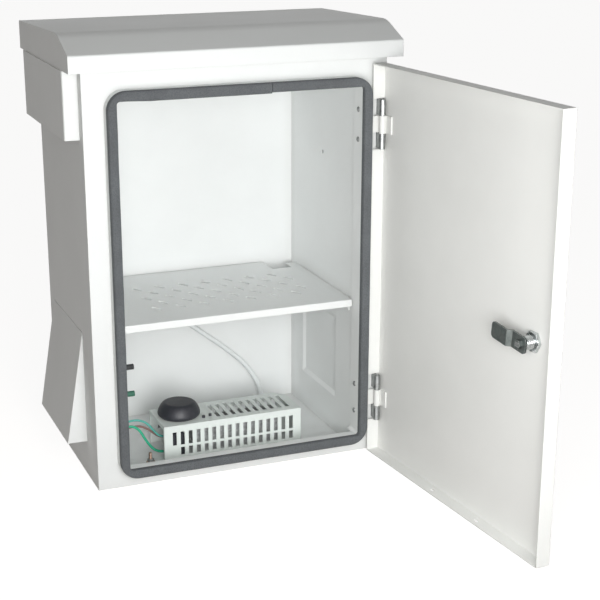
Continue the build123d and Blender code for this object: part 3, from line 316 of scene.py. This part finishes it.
def platedMetalGroup():
    group, given, made = newGroup(
        "platedMetal",
        (
            ("Metal", colourKind, (0.5, 0.5, 0.5, 1.0)),
            ("Tarnish", colourKind, (0.2, 0.2, 0.19, 1.0)),
            ("Grain Scale", numberKind, 350.0),
            ("Edge Radius", numberKind, 0.0004),
            ("Wear", numberKind, 0.5),
            ("Gloss", numberKind, 0.32),
        ),
        surfaceOutputs,
    )
    place = addNode(group, "ShaderNodeTexCoord").outputs["Object"]
    softNormal, edge, corner, _ = edgeAndCorner(group, given["Edge Radius"])
    stretch = addNode(group, "ShaderNodeMapping", Scale=(1.0, 1.0, 0.09))
    wire(group, place, stretch.inputs["Vector"])
    fineGrain = mathNode(group, "MULTIPLY", given["Grain Scale"], 6.0)
    brushed = noiseOn(group, stretch.outputs[0], fineGrain, 3.0, 0.6)
    spangle = addNode(group, "ShaderNodeTexVoronoi")
    wire(group, place, spangle.inputs["Vector"])
    wire(group, given["Grain Scale"], spangle.inputs["Scale"])
    stain = noiseOn(group, place, 95.0, 4.0, 0.6)
    patch = spread(group, stain, 0.42, 0.7)
    dark = mathNode(group, "MULTIPLY", mathNode(group, "MAXIMUM", patch, corner), given["Wear"], clamp=True)
    grey = addNode(group, "ShaderNodeSeparateColor")
    wire(group, spangle.outputs["Color"], grey.inputs[0])
    tone = addNode(group, "ShaderNodeVectorMath", operation="SCALE")
    wire(group, given["Metal"], tone.inputs[0])
    wire(group, spread(group, grey.outputs[0], 0.0, 1.0, 0.82, 1.1), tone.inputs["Scale"])
    coloured = mixColour(group, dark, tone.outputs[0], given["Tarnish"])
    coloured = mixColour(group, mathNode(group, "MULTIPLY", edge, 0.5), coloured, metalEdge)
    rough = mathNode(group, "ADD", given["Gloss"], spread(group, brushed, 0.3, 0.7, -0.07, 0.1))
    rough = mathNode(group, "ADD", rough, mathNode(group, "MULTIPLY", dark, 0.25), clamp=True)
    bump = addNode(group, "ShaderNodeBump", Strength=0.5, Distance=0.00003)
    wire(group, brushed, bump.inputs["Height"])
    wire(group, softNormal, bump.inputs["Normal"])
    wire(group, coloured, made["Color"])
    wire(group, rough, made["Roughness"])
    wire(group, bump.outputs[0], made["Normal"])
    return group


def poreGroup():
    group, given, made = newGroup(
        "openPores",
        (
            ("Foam", colourKind, (0.1, 0.1, 0.1, 1.0)),
            ("Pore Scale", numberKind, 900.0),
            ("Pore Depth", numberKind, 0.00025),
            ("Gloss", numberKind, 0.85),
        ),
        surfaceOutputs,
    )
    place = addNode(group, "ShaderNodeTexCoord").outputs["Object"]
    cells = addNode(group, "ShaderNodeTexVoronoi", feature="SMOOTH_F1", Smoothness=0.35)
    wire(group, place, cells.inputs["Vector"])
    wire(group, given["Pore Scale"], cells.inputs["Scale"])
    cloud = noiseOn(group, place, 38.0, 4.0, 0.6)
    pore = spread(group, cells.outputs["Distance"], 0.15, 0.55)
    # the pore hollows darkened in colour: painted shade
    paintedPoreShade = spread(group, pore, 0.0, 1.0, 0.66, 1.12)
    clouded = spread(group, cloud, 0.3, 0.7, 0.86, 1.12)
    shade = mathNode(group, "MULTIPLY", paintedPoreShade, clouded)
    toned = addNode(group, "ShaderNodeVectorMath", operation="SCALE")
    wire(group, given["Foam"], toned.inputs[0])
    wire(group, shade, toned.inputs["Scale"])
    bump = addNode(group, "ShaderNodeBump", Strength=0.7)
    wire(group, pore, bump.inputs["Height"])
    wire(group, given["Pore Depth"], bump.inputs["Distance"])
    wire(group, toned.outputs[0], made["Color"])
    rough = mathNode(group, "ADD", given["Gloss"], spread(group, cloud, 0.3, 0.7, -0.06, 0.06))
    wire(group, rough, made["Roughness"])
    wire(group, bump.outputs[0], made["Normal"])
    return group


def mouldedGroup():
    group, given, made = newGroup(
        "mouldedSkin",
        (
            ("Plastic", colourKind, (0.1, 0.1, 0.1, 1.0)),
            ("Bloom", colourKind, (0.3, 0.3, 0.3, 1.0)),
            ("Skin Scale", numberKind, 1500.0),
            ("Edge Radius", numberKind, 0.0005),
            ("Gloss", numberKind, 0.45),
        ),
        surfaceOutputs,
    )
    place = addNode(group, "ShaderNodeTexCoord").outputs["Object"]
    softNormal, edge, corner, _ = edgeAndCorner(group, given["Edge Radius"])
    grit = noiseOn(group, place, given["Skin Scale"], 2.0, 0.6)
    cloud = noiseOn(group, place, 120.0, 4.0, 0.6)
    clouded = spread(group, cloud, 0.4, 0.75, 0.0, 0.10)
    haze = mathNode(group, "ADD", clouded, mathNode(group, "MULTIPLY", edge, 0.25))
    haze = mathNode(group, "ADD", haze, mathNode(group, "MULTIPLY", corner, 0.12), clamp=True)
    coloured = mixColour(group, haze, given["Plastic"], given["Bloom"])
    bump = addNode(group, "ShaderNodeBump", Strength=0.6, Distance=0.00005)
    wire(group, grit, bump.inputs["Height"])
    wire(group, softNormal, bump.inputs["Normal"])
    wire(group, coloured, made["Color"])
    rough = mathNode(group, "ADD", given["Gloss"], spread(group, grit, 0.3, 0.7, -0.05, 0.08))
    wire(group, rough, made["Roughness"])
    wire(group, bump.outputs[0], made["Normal"])
    return group


effects = {
    "powderCoat": powderCoatGroup(),
    "platedMetal": platedMetalGroup(),
    "openPores": poreGroup(),
    "mouldedSkin": mouldedGroup(),
}


def finish(name, effect, values, **shaderValues):
    # a material: one shared effect with its own values, into a Principled shader of its own
    material = bpy.data.materials.new(name)
    material.use_nodes = True
    tree = material.node_tree
    shader = tree.nodes["Principled BSDF"]
    for key, value in shaderValues.items():
        shader.inputs[key.replace("_", " ")].default_value = value
    node = tree.nodes.new("ShaderNodeGroup")
    node.node_tree = effects[effect]
    for key, value in values.items():
        node.inputs[key].default_value = value
    wire(tree, node.outputs["Color"], shader.inputs["Base Color"])
    wire(tree, node.outputs["Roughness"], shader.inputs["Roughness"])
    wire(tree, node.outputs["Normal"], shader.inputs["Normal"])
    return material


paintColour = (0.83, 0.85, 0.845, 1.0)
# the paints' dust setting also sets their painted shade in inner corners
finishes = {
    "bodyPaint": finish("bodyPaint", "powderCoat", {"Paint": paintColour}, Specular_IOR_Level=0.45),
    "doorPaint": finish(
        "doorPaint", "powderCoat", {"Paint": (0.84, 0.85, 0.83, 1.0), "Dust And Shade": 0.2}, Specular_IOR_Level=0.45
    ),
    "guardPaint": finish(
        "guardPaint", "powderCoat", {"Paint": (0.79, 0.85, 0.82, 1.0), "Dust And Shade": 0.45}, Specular_IOR_Level=0.45
    ),
    "foamSeal": finish("foamSeal", "openPores", {"Foam": (0.105, 0.113, 0.120, 1.0)}),
    "filterFoam": finish("filterFoam", "openPores", {"Foam": (0.55, 0.56, 0.54, 1.0), "Pore Scale": 500.0}),
    "zinc": finish("zinc", "platedMetal", {"Metal": (0.46, 0.48, 0.48, 1.0)}, Metallic=1.0),
    "steel": finish("steel", "platedMetal", {"Metal": (0.30, 0.31, 0.31, 1.0), "Gloss": 0.38}, Metallic=1.0),
    "lockChrome": finish(
        "lockChrome", "platedMetal", {"Metal": (0.62, 0.65, 0.65, 1.0), "Gloss": 0.18, "Wear": 0.25},
        Metallic=1.0,
    ),
    "camSteel": finish(
        "camSteel", "platedMetal", {"Metal": (0.12, 0.14, 0.135, 1.0), "Gloss": 0.36}, Metallic=0.9
    ),
    "heaterAluminium": finish(
        "heaterAluminium", "platedMetal", {"Metal": (0.66, 0.67, 0.68, 1.0)}, Metallic=0.55
    ),
    "studBrass": finish("studBrass", "platedMetal", {"Metal": (0.48, 0.30, 0.22, 1.0)}, Metallic=1.0),
    "blackPlastic": finish(
        "blackPlastic", "mouldedSkin",
        {"Plastic": (0.022, 0.023, 0.030, 1.0), "Bloom": (0.14, 0.15, 0.17, 1.0)},
    ),
    "blackRubber": finish(
        "blackRubber", "mouldedSkin", {"Plastic": (0.03, 0.032, 0.034, 1.0), "Gloss": 0.62},
        Specular_IOR_Level=0.35,
    ),
    "greenRubber": finish("greenRubber", "mouldedSkin", {"Plastic": (0.02, 0.12, 0.075, 1.0), "Gloss": 0.55}),
    "whiteSheath": finish(
        "whiteSheath", "mouldedSkin", {"Plastic": (0.80, 0.83, 0.83, 1.0), "Bloom": (0.6, 0.6, 0.58, 1.0)}
    ),
    "greenSheath": finish("greenSheath", "mouldedSkin", {"Plastic": (0.03, 0.42, 0.24, 1.0)}),
    "tealSheath": finish("tealSheath", "mouldedSkin", {"Plastic": (0.10, 0.45, 0.38, 1.0)}),
    "brownSheath": finish("brownSheath", "mouldedSkin", {"Plastic": (0.30, 0.17, 0.15, 1.0)}),
}

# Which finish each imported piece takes
dressing = {
    "bodyPaint": (
        "outer_shell", "front_frame", "roof_canopy", "left_vent_hood", "left_intake_cowl",
        "right_intake_cowl", "left_inner_wall", "right_inner_wall", "shelf", "shelf_bracket_left",
        "shelf_bracket_right", "cable_bar",
    ),
    "doorPaint": ("door_panel", "upper_hinge_door_leaf", "lower_hinge_door_leaf"),
    "guardPaint": ("heater_guard",),
    "foamSeal": ("door_seal",),
    "filterFoam": ("left_filter_mat", "right_filter_mat"),
    "zinc": (
        "upper_hinge_frame_leaf", "lower_hinge_frame_leaf", "left_filter_frame", "right_filter_frame",
        "earth_nut",
    ),
    "steel": ("upper_hinge_pin", "lower_hinge_pin", "hinge_screws", "lock_core"),
    "camSteel": ("lock_cam", "cam_nut"),
    "lockChrome": ("lock_housing", "lock_nut"),
    "heaterAluminium": ("heater_element",),
    "studBrass": ("earth_stud",),
    "blackPlastic": ("control_cap", "guard_screws", "terminal_block", "lead_grommet"),
    "blackRubber": ("upper_cable_sleeve", "supply_sleeve", "guard_sleeve", "floor_grommets"),
    "greenRubber": ("lower_cable_sleeve",),
    "whiteSheath": ("supply_cable",),
    "greenSheath": ("green_lead",),
    "tealSheath": ("teal_lead",),
    "brownSheath": ("brown_lead",),
}

for finishName, nodeNames in dressing.items():
    for nodeName in nodeNames:
        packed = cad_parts[nodeName]
        for index in range(max(1, len(packed.material_slots))):
            if index >= len(packed.material_slots):
                packed.data.materials.append(None)
            packed.material_slots[index].link = "OBJECT"
            packed.material_slots[index].material = finishes[finishName]
print("packed pieces painted")


# New pieces
sharpAngle = math.radians(35)
ringStep = 0.00003  # height between two rings that would share a plane, so that they bridge straight


def addPiece(name, bm, finishName, body, replaced=()):
    bmesh.ops.recalc_face_normals(bm, faces=bm.faces)
    mesh = bpy.data.meshes.new(name)
    bm.to_mesh(mesh)
    bm.free()
    mesh.shade_smooth()
    mesh.set_sharp_from_angle(angle=sharpAngle)
    mesh.materials.append(finishes[finishName])
    piece = bpy.data.objects.new(name, mesh)
    scene.collection.objects.link(piece)
    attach(piece, body)
    if replaced:
        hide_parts(*replaced)
    return piece


def loopFrom(vert):
    # every edge that hangs together with this vertex
    found, waiting = [], [vert]
    while waiting:
        here = waiting.pop()
        for edge in here.link_edges:
            if edge not in found:
                found.append(edge)
                waiting.append(edge.other_vert(here))
    return found


def drawRing(bm, sides, radius, height, hexagon=False):
    # a loop of edges at that height; a hexagon's radius is to the middle of its sides
    lift = Matrix.Translation((0, 0, height))
    points = bmesh.ops.create_circle(bm, cap_ends=False, segments=sides, radius=radius, matrix=lift)["verts"]
    if hexagon:
        sector = math.tau / 6
        for v in points:
            lean = (math.atan2(v.co.y, v.co.x) + sector) % sector - sector / 2
            v.co.x, v.co.y = v.co.x / math.cos(lean), v.co.y / math.cos(lean)
    return loopFrom(points[0])


def joinRings(bm, rings, closed=False):
    pairs = list(zip(rings, rings[1:]))
    if closed:
        pairs.append((rings[-1], rings[0]))
    for one, other in pairs:
        bmesh.ops.bridge_loops(bm, edges=one + other)


def drawThread(bm, radius, rise, pitch, start, length, sides=28):
    # a three-sided ridge wound round a shaft along Z
    points = bmesh.ops.create_circle(bm, cap_ends=False, segments=3, radius=0.5)["verts"]
    ridge = loopFrom(points[0])
    bmesh.ops.scale(bm, vec=(2 * rise, pitch, 1), verts=points)
    stand = Matrix(((1, 0, 0), (0, 0, 1), (0, 1, 0))).to_4x4()
    bmesh.ops.transform(bm, matrix=Matrix.Translation((radius, 0, start)) @ stand, verts=points)
    turns = length / pitch
    steps = round(turns * sides)
    made = bmesh.ops.spin(
        bm, geom=points + ridge, cent=(0, 0, 0), axis=(0, 0, 1), dvec=(0, 0, length / steps),
        angle=math.tau * turns, steps=steps, use_merge=False, use_duplicate=False,
    )
    ends = [g for g in made["geom_last"] if isinstance(g, bmesh.types.BMEdge)]
    bmesh.ops.holes_fill(bm, edges=ends + ridge, sides=0)


# Foam seal: strips laid round the rim, butted together in the top run
foamStrip = {
    "width": 0.012,
    "outerCorner": 0.024,
    "innerCorner": 0.004,
    "edgeRound": 0.0022,
    "roundSteps": 4,
    "jointPlace": 0.036,
    "jointGap": 0.0007,
    "leftDrop": 0.0012,  # the strip left of the joint is a little wider
    "cornerSteps": 12,
    "runCuts": 40,
    "wave": 0.00025,
    "waveScale": 34.0,
    "waveLean": 0.6,
    "waveShift": (7, 3, 1),
    "longRun": 0.1,
    "nearJoint": 0.03,
    "topReach": 1.2,
    "dropReach": 1.05,
    "dropTaper": 0.03,
}


def drawSealLoop(bm, low, high, inset, place):
    points = bmesh.ops.create_grid(bm, x_segments=1, y_segments=1, size=0.5)["verts"]
    size = Vector((high.x - low.x - 2 * inset, high.z - low.z - 2 * inset, 1.0))
    bmesh.ops.scale(bm, vec=size, verts=points)
    stand = Matrix(((1, 0, 0), (0, 0, -1), (0, 1, 0))).to_4x4()
    middle = Vector(((low.x + high.x) / 2, place, (low.z + high.z) / 2))
    bmesh.ops.transform(bm, matrix=Matrix.Translation(middle) @ stand, verts=points)
    share = inset / foamStrip["width"]
    corner = (1 - share) * foamStrip["outerCorner"] + share * foamStrip["innerCorner"]
    rounded = bmesh.ops.bevel(
        bm, geom=points, offset=corner, segments=foamStrip["cornerSteps"], profile=0.5, material=-1,
        affect="VERTICES", clamp_overlap=False,
    )["verts"]
    loop = loopFrom(rounded[0])
    filled = list(dict.fromkeys(f for e in loop for f in e.link_faces))
    bmesh.ops.delete(bm, geom=filled, context="FACES_ONLY")
    return loop


def makeSeal():
    low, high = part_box("door_seal")
    width = foamStrip["width"]
    bm = bmesh.new()
    corners = ((0, high.y), (0, low.y), (width, low.y + ringStep), (width, high.y - ringStep))
    loops = [drawSealLoop(bm, low, high, inset, place) for inset, place in corners]
    joinRings(bm, loops, closed=True)
    front = [e for e in loops[1] + loops[2] if e.is_valid]
    bmesh.ops.bevel(
        bm, geom=front, offset=foamStrip["edgeRound"], segments=foamStrip["roundSteps"], profile=0.5,
        material=-1, affect="EDGES", clamp_overlap=False,
    )
    runs = [e for e in bm.edges if e.calc_length() > foamStrip["longRun"]]
    bmesh.ops.subdivide_edges(bm, edges=runs, cuts=foamStrip["runCuts"], use_grid_fill=True)
    # the butt joint: a thin slice out of the top run, its two ends closed
    joint, gap = foamStrip["jointPlace"], foamStrip["jointGap"] / 2
    topRun = high.z - foamStrip["topReach"] * width

    def facesNear(reach):
        centres = ((f, f.calc_center_median()) for f in bm.faces)
        return [f for f, centre in centres if centre.z > topRun and abs(centre.x - joint) < reach]

    for side in (-1, 1):
        near = facesNear(foamStrip["nearJoint"])
        edges = list(dict.fromkeys(e for f in near for e in f.edges))
        points = list(dict.fromkeys(v for f in near for v in f.verts))
        bmesh.ops.bisect_plane(
            bm, geom=near + edges + points, dist=1e-7, plane_co=(joint + side * gap, 0, 0), plane_no=(1, 0, 0),
        )
    bmesh.ops.delete(bm, geom=facesNear(gap), context="FACES")
    bmesh.ops.holes_fill(bm, edges=[e for e in bm.edges if e.is_boundary], sides=0)

    waveShift = Vector(foamStrip["waveShift"])
    for v in bm.verts:
        free = (high.y - v.co.y) / (high.y - low.y)
        across = (high.z - v.co.z) / width
        if v.co.x < joint and across < foamStrip["dropReach"]:
            inward = (v.co.x - low.x - foamStrip["outerCorner"]) / foamStrip["dropTaper"]
            v.co.z -= foamStrip["leftDrop"] * across * min(1.0, max(0.0, inward))
        sway = free * foamStrip["wave"]
        v.co.y += sway * (noise.noise(v.co * foamStrip["waveScale"]) + foamStrip["waveLean"])
        v.co.x += sway * noise.noise(v.co * foamStrip["waveScale"] + waveShift)
    return addPiece("foamSeal", bm, "foamSeal", "cabinet", ("door_seal",))


makeSeal()
print("seal laid")


# Filter mats: fleece that swells a little between the frame's lips
fleece = {"cuts": 26, "share": 0.97, "swell": 0.0007, "tuft": 0.00035, "tuftScale": 260.0, "mostLift": 0.015}


def makeMat(side):
    low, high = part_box(side + "_filter_mat")
    size, middle = high - low, (high + low) / 2
    bm = bmesh.new()
    bmesh.ops.create_cube(bm, size=1.0)
    bmesh.ops.scale(bm, vec=size * fleece["share"], verts=bm.verts)
    bmesh.ops.subdivide_edges(bm, edges=bm.edges, cuts=fleece["cuts"], use_grid_fill=True)
    bmesh.ops.translate(bm, vec=middle, verts=bm.verts)
    for v in bm.verts:
        across = Vector((0, (v.co.y - middle.y) / size.y, (v.co.z - middle.z) / size.z))
        crown = max(0.0, 1 - 4 * across.y**2) * max(0.0, 1 - 4 * across.z**2)
        outward = 1 if v.co.x > middle.x else -1
        lift = fleece["swell"] * crown + fleece["tuft"] * noise.noise(v.co * fleece["tuftScale"])
        v.co.x += outward * min(lift, size.x * fleece["mostLift"])
    piece = addPiece(side + "FilterMat", bm, "filterFoam", "cabinet", (side + "_filter_mat",))


makeMat("left")
makeMat("right")
print("mats laid")

# Threaded earth stud with its washer
stud = {
    "sides": 36, "radius": 0.0025, "pitch": 0.0008, "rise": 0.00034, "tip": 0.0006, "floorTop": 0.0015,
    "washer": 0.0010, "washerEdge": 0.0008, "washerRound": 0.00015,
    "threadFrom": 0.0018, "threadShort": 0.0030,
}


def makeStud():
    low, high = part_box("earth_stud")
    centre = ((low.x + high.x) / 2, (low.y + high.y) / 2)
    washer, floorTop, tip = (high.x - low.x) / 2, stud["floorTop"], stud["tip"]
    root = stud["radius"] - stud["rise"]
    outline = (
        (root, low.z), (root, floorTop + ringStep), (washer, floorTop),
        (washer, floorTop + stud["washerEdge"]), (washer - stud["washerRound"], floorTop + stud["washer"]),
        (root, floorTop + stud["washer"] - ringStep), (root, high.z - tip), (root - tip * 0.8, high.z),
    )
    bm = bmesh.new()
    rings = [drawRing(bm, stud["sides"], radius, height) for radius, height in outline]
    joinRings(bm, rings)
    bmesh.ops.holes_fill(bm, edges=rings[0] + rings[-1], sides=0)
    start, length = floorTop + stud["threadFrom"], high.z - floorTop - stud["threadShort"]
    drawThread(bm, root, stud["rise"], stud["pitch"], start, length)
    bmesh.ops.translate(bm, vec=(*centre, 0), verts=bm.verts)
    return addPiece("earthStud", bm, "studBrass", "cabinet", ("earth_stud",))


makeStud()

# Screws in the hinge leaves: domed heads with a hexagon socket
hingeScrew = {
    "sides": 24, "face": 0.1616, "place": -0.1180, "levels": (0.0594, 0.0982, 0.4339, 0.4727),
    "head": 0.0034, "height": 0.0016, "shank": 0.0020, "socket": 0.0012, "socketDepth": 0.0011,
    "socketTaper": 0.96, "dome": ((1.0, 0.30), (0.93, 0.66), (0.76, 0.90), (0.52, 1.0)),
}


def makeScrews():
    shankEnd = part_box("hinge_screws")[1].x
    sides, head, tall, shank = (hingeScrew[key] for key in ("sides", "head", "height", "shank"))
    socket, deep = hingeScrew["socket"], hingeScrew["socketDepth"]
    inwards = Matrix(((0, 0, -1), (0, 1, 0), (1, 0, 0))).to_4x4()  # along Z becomes along -X
    outline = [(shank, hingeScrew["face"] - shankEnd), (shank, ringStep), (head, 0)]
    outline += [(share * head, rise * tall) for share, rise in hingeScrew["dome"]]
    bm = bmesh.new()
    rings = [drawRing(bm, sides, radius, height) for radius, height in outline]
    rings.append(drawRing(bm, sides, socket, tall - ringStep, hexagon=True))
    rings.append(drawRing(bm, sides, socket * hingeScrew["socketTaper"], tall - deep, hexagon=True))
    joinRings(bm, rings)
    bmesh.ops.holes_fill(bm, edges=rings[0] + rings[-1], sides=0)
    levels = hingeScrew["levels"]
    seat = Matrix.Translation((hingeScrew["face"], hingeScrew["place"], levels[0]))
    bmesh.ops.transform(bm, matrix=seat @ inwards, verts=bm.verts)
    first = list(bm.verts) + list(bm.edges) + list(bm.faces)
    for level in levels[1:]:
        copied = bmesh.ops.duplicate(bm, geom=first)["geom"]
        points = [g for g in copied if isinstance(g, bmesh.types.BMVert)]
        bmesh.ops.translate(bm, vec=(0, 0, level - levels[0]), verts=points)
    return addPiece("hingeScrews", bm, "steel", "cabinet", ("hinge_screws",))


makeScrews()
print("stud and screws made")

# Nuts with chamfered corners, drawn at the closed door and swung open with it
doorLock = {
    "hinge": (0.1890, -0.1317, 0), "openAngle": 95.0, "lock": (-0.1475, 0.260), "inner": -0.1380,
    "barrel": 0.0080, "barrelEnd": -0.1203, "sides": 40, "threadPitch": 0.0010, "threadRise": 0.00030,
    "threadGap": 0.0003, "threadFrom": 0.0006, "threadShort": 0.0018,
}
lockNut = {"width": 0.0234, "height": 0.0050, "bore": 0.0080, "corner": 0.0008, "sides": 48}
earthNut = {"width": 0.0080, "height": 0.0040, "bore": 0.0025, "corner": 0.0004, "sides": 36}
nutForm = {"face": 0.97, "mouthWiden": 0.9, "mouthDepth": 0.8}  # shares of the width and of the corner


def swing(matrix):
    about = Matrix.Translation(doorLock["hinge"])
    return about @ Matrix.Rotation(math.radians(doorLock["openAngle"]), 4, "Z") @ about.inverted() @ matrix


def drawNut(bm, nut):
    corner, tall, sides, bore = (nut[key] for key in ("corner", "height", "sides", "bore"))
    half = nut["width"] / 2
    face = half * nutForm["face"]
    mouth, deep = bore + corner * nutForm["mouthWiden"], corner * nutForm["mouthDepth"]
    rings = [
        drawRing(bm, sides, face, 0), drawRing(bm, sides, half, corner, hexagon=True),
        drawRing(bm, sides, half, tall - corner, hexagon=True), drawRing(bm, sides, face, tall),
        drawRing(bm, sides, mouth, tall - ringStep), drawRing(bm, sides, bore, tall - deep),
        drawRing(bm, sides, bore, deep), drawRing(bm, sides, mouth, ringStep),
    ]
    joinRings(bm, rings, closed=True)


def makeLockNut():
    bm = bmesh.new()
    drawNut(bm, lockNut)
    back = Matrix(((1, 0, 0), (0, 0, 1), (0, -1, 0))).to_4x4()  # along Z becomes along +Y
    seat = Matrix.Translation((doorLock["lock"][0], doorLock["inner"], doorLock["lock"][1]))
    bmesh.ops.transform(bm, matrix=swing(seat @ back), verts=bm.verts)
    addPiece("lockNut", bm, "lockChrome", "door", ("lock_nut",))

    bm = bmesh.new()
    start = lockNut["height"] + doorLock["threadGap"]
    length = doorLock["barrelEnd"] - doorLock["inner"] - start - doorLock["threadShort"]
    drawThread(
        bm, doorLock["barrel"], doorLock["threadRise"], doorLock["threadPitch"],
        start + doorLock["threadFrom"], length, sides=doorLock["sides"],
    )
    bmesh.ops.transform(bm, matrix=swing(seat @ back), verts=bm.verts)
    addPiece("barrelThread", bm, "lockChrome", "door")


def makeEarthNut():
    low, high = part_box("earth_nut")
    bm = bmesh.new()
    drawNut(bm, earthNut)
    turn = Matrix.Rotation(math.radians(30 if high.x - low.x < high.y - low.y else 0), 4, "Z")
    seat = Matrix.Translation(((low.x + high.x) / 2, (low.y + high.y) / 2, low.z)) @ turn
    bmesh.ops.transform(bm, matrix=seat, verts=bm.verts)
    addPiece("earthNut", bm, "zinc", "cabinet", ("earth_nut",))


makeLockNut()
makeEarthNut()
print("nuts made")

# Leads and the supply cable: held at both ends, each on its own route
leads = {
    "greenLead": {
        "node": "green_lead", "diameter": 0.0036, "length": 0.1064, "stiffness": "medium",
        "slot": "green_sheath", "finish": "greenSheath",
        "route": (
            (-0.1606, -0.0465, 0.0510), (-0.1480, -0.0465, 0.0510), (-0.1360, -0.0495, 0.0550),
            (-0.1250, -0.0505, 0.0490), (-0.1160, -0.0505, 0.0310), (-0.1050, -0.0475, 0.0150),
            (-0.0920, -0.0415, 0.0070), (-0.0780, -0.0415, 0.0070),
        ),
    },
    "tealLead": {
        "node": "teal_lead", "diameter": 0.0030, "length": 0.0945, "stiffness": "medium",
        "slot": "teal_sheath", "finish": "tealSheath",
        "route": (
            (-0.1606, -0.0375, 0.0540), (-0.1460, -0.0375, 0.0540), (-0.1330, -0.0345, 0.0560),
            (-0.1190, -0.0325, 0.0545), (-0.1070, -0.0325, 0.0470), (-0.0990, -0.0335, 0.0350),
            (-0.0900, -0.0345, 0.0260), (-0.0780, -0.0345, 0.0260),
        ),
    },
    "brownLead": {
        "node": "brown_lead", "diameter": 0.0030, "length": 0.0937, "stiffness": "medium",
        "slot": "brown_sheath", "finish": "brownSheath",
        "route": (
            (-0.1606, -0.0415, 0.0470), (-0.1460, -0.0415, 0.0470), (-0.1330, -0.0400, 0.0490),
            (-0.1200, -0.0375, 0.0480), (-0.1070, -0.0315, 0.0390), (-0.0970, -0.0265, 0.0290),
            (-0.0880, -0.0255, 0.0220), (-0.0780, -0.0255, 0.0220),
        ),
    },
    "supplyCable": {
        "node": "supply_cable", "diameter": 0.0070, "length": 0.4240, "stiffness": "medium",
        "slot": "white_sheath", "finish": "whiteSheath",
        "route": (
            (-0.1511, 0.1055, 0.1860), (-0.1080, 0.1055, 0.1860), (-0.0650, 0.1105, 0.1800),
            (-0.0230, 0.1115, 0.1530), (0.0167, 0.1115, 0.1210), (0.0560, 0.1115, 0.0900),
            (0.0900, 0.1105, 0.0580), (0.1090, 0.1035, 0.0220), (0.0990, 0.0755, 0.0065),
            (0.0620, 0.0475, 0.0090), (0.0620, 0.0215, 0.0090),
        ),
    },
}


def makeLead(name, lead):
    curve = bpy.data.curves.new(name, "CURVE")
    curve.dimensions = "3D"
    spline = curve.splines.new("NURBS")
    spline.points.add(len(lead["route"]) - 1)
    for point, place in zip(spline.points, lead["route"]):
        point.co = (*place, 1.0)
    spline.order_u = 3
    spline.use_endpoint_u = True
    spline.use_smooth = True
    curve.resolution_u = 16
    curve.bevel_depth = lead["diameter"] / 2
    curve.bevel_resolution = 5
    curve.use_fill_caps = True
    curve.materials.append(finishes[lead["finish"]])
    piece = bpy.data.objects.new(name, curve)
    scene.collection.objects.link(piece)
    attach(piece, "cabinet")
    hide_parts(lead["node"])


for name, lead in leads.items():
    makeLead(name, lead)
print("leads laid")
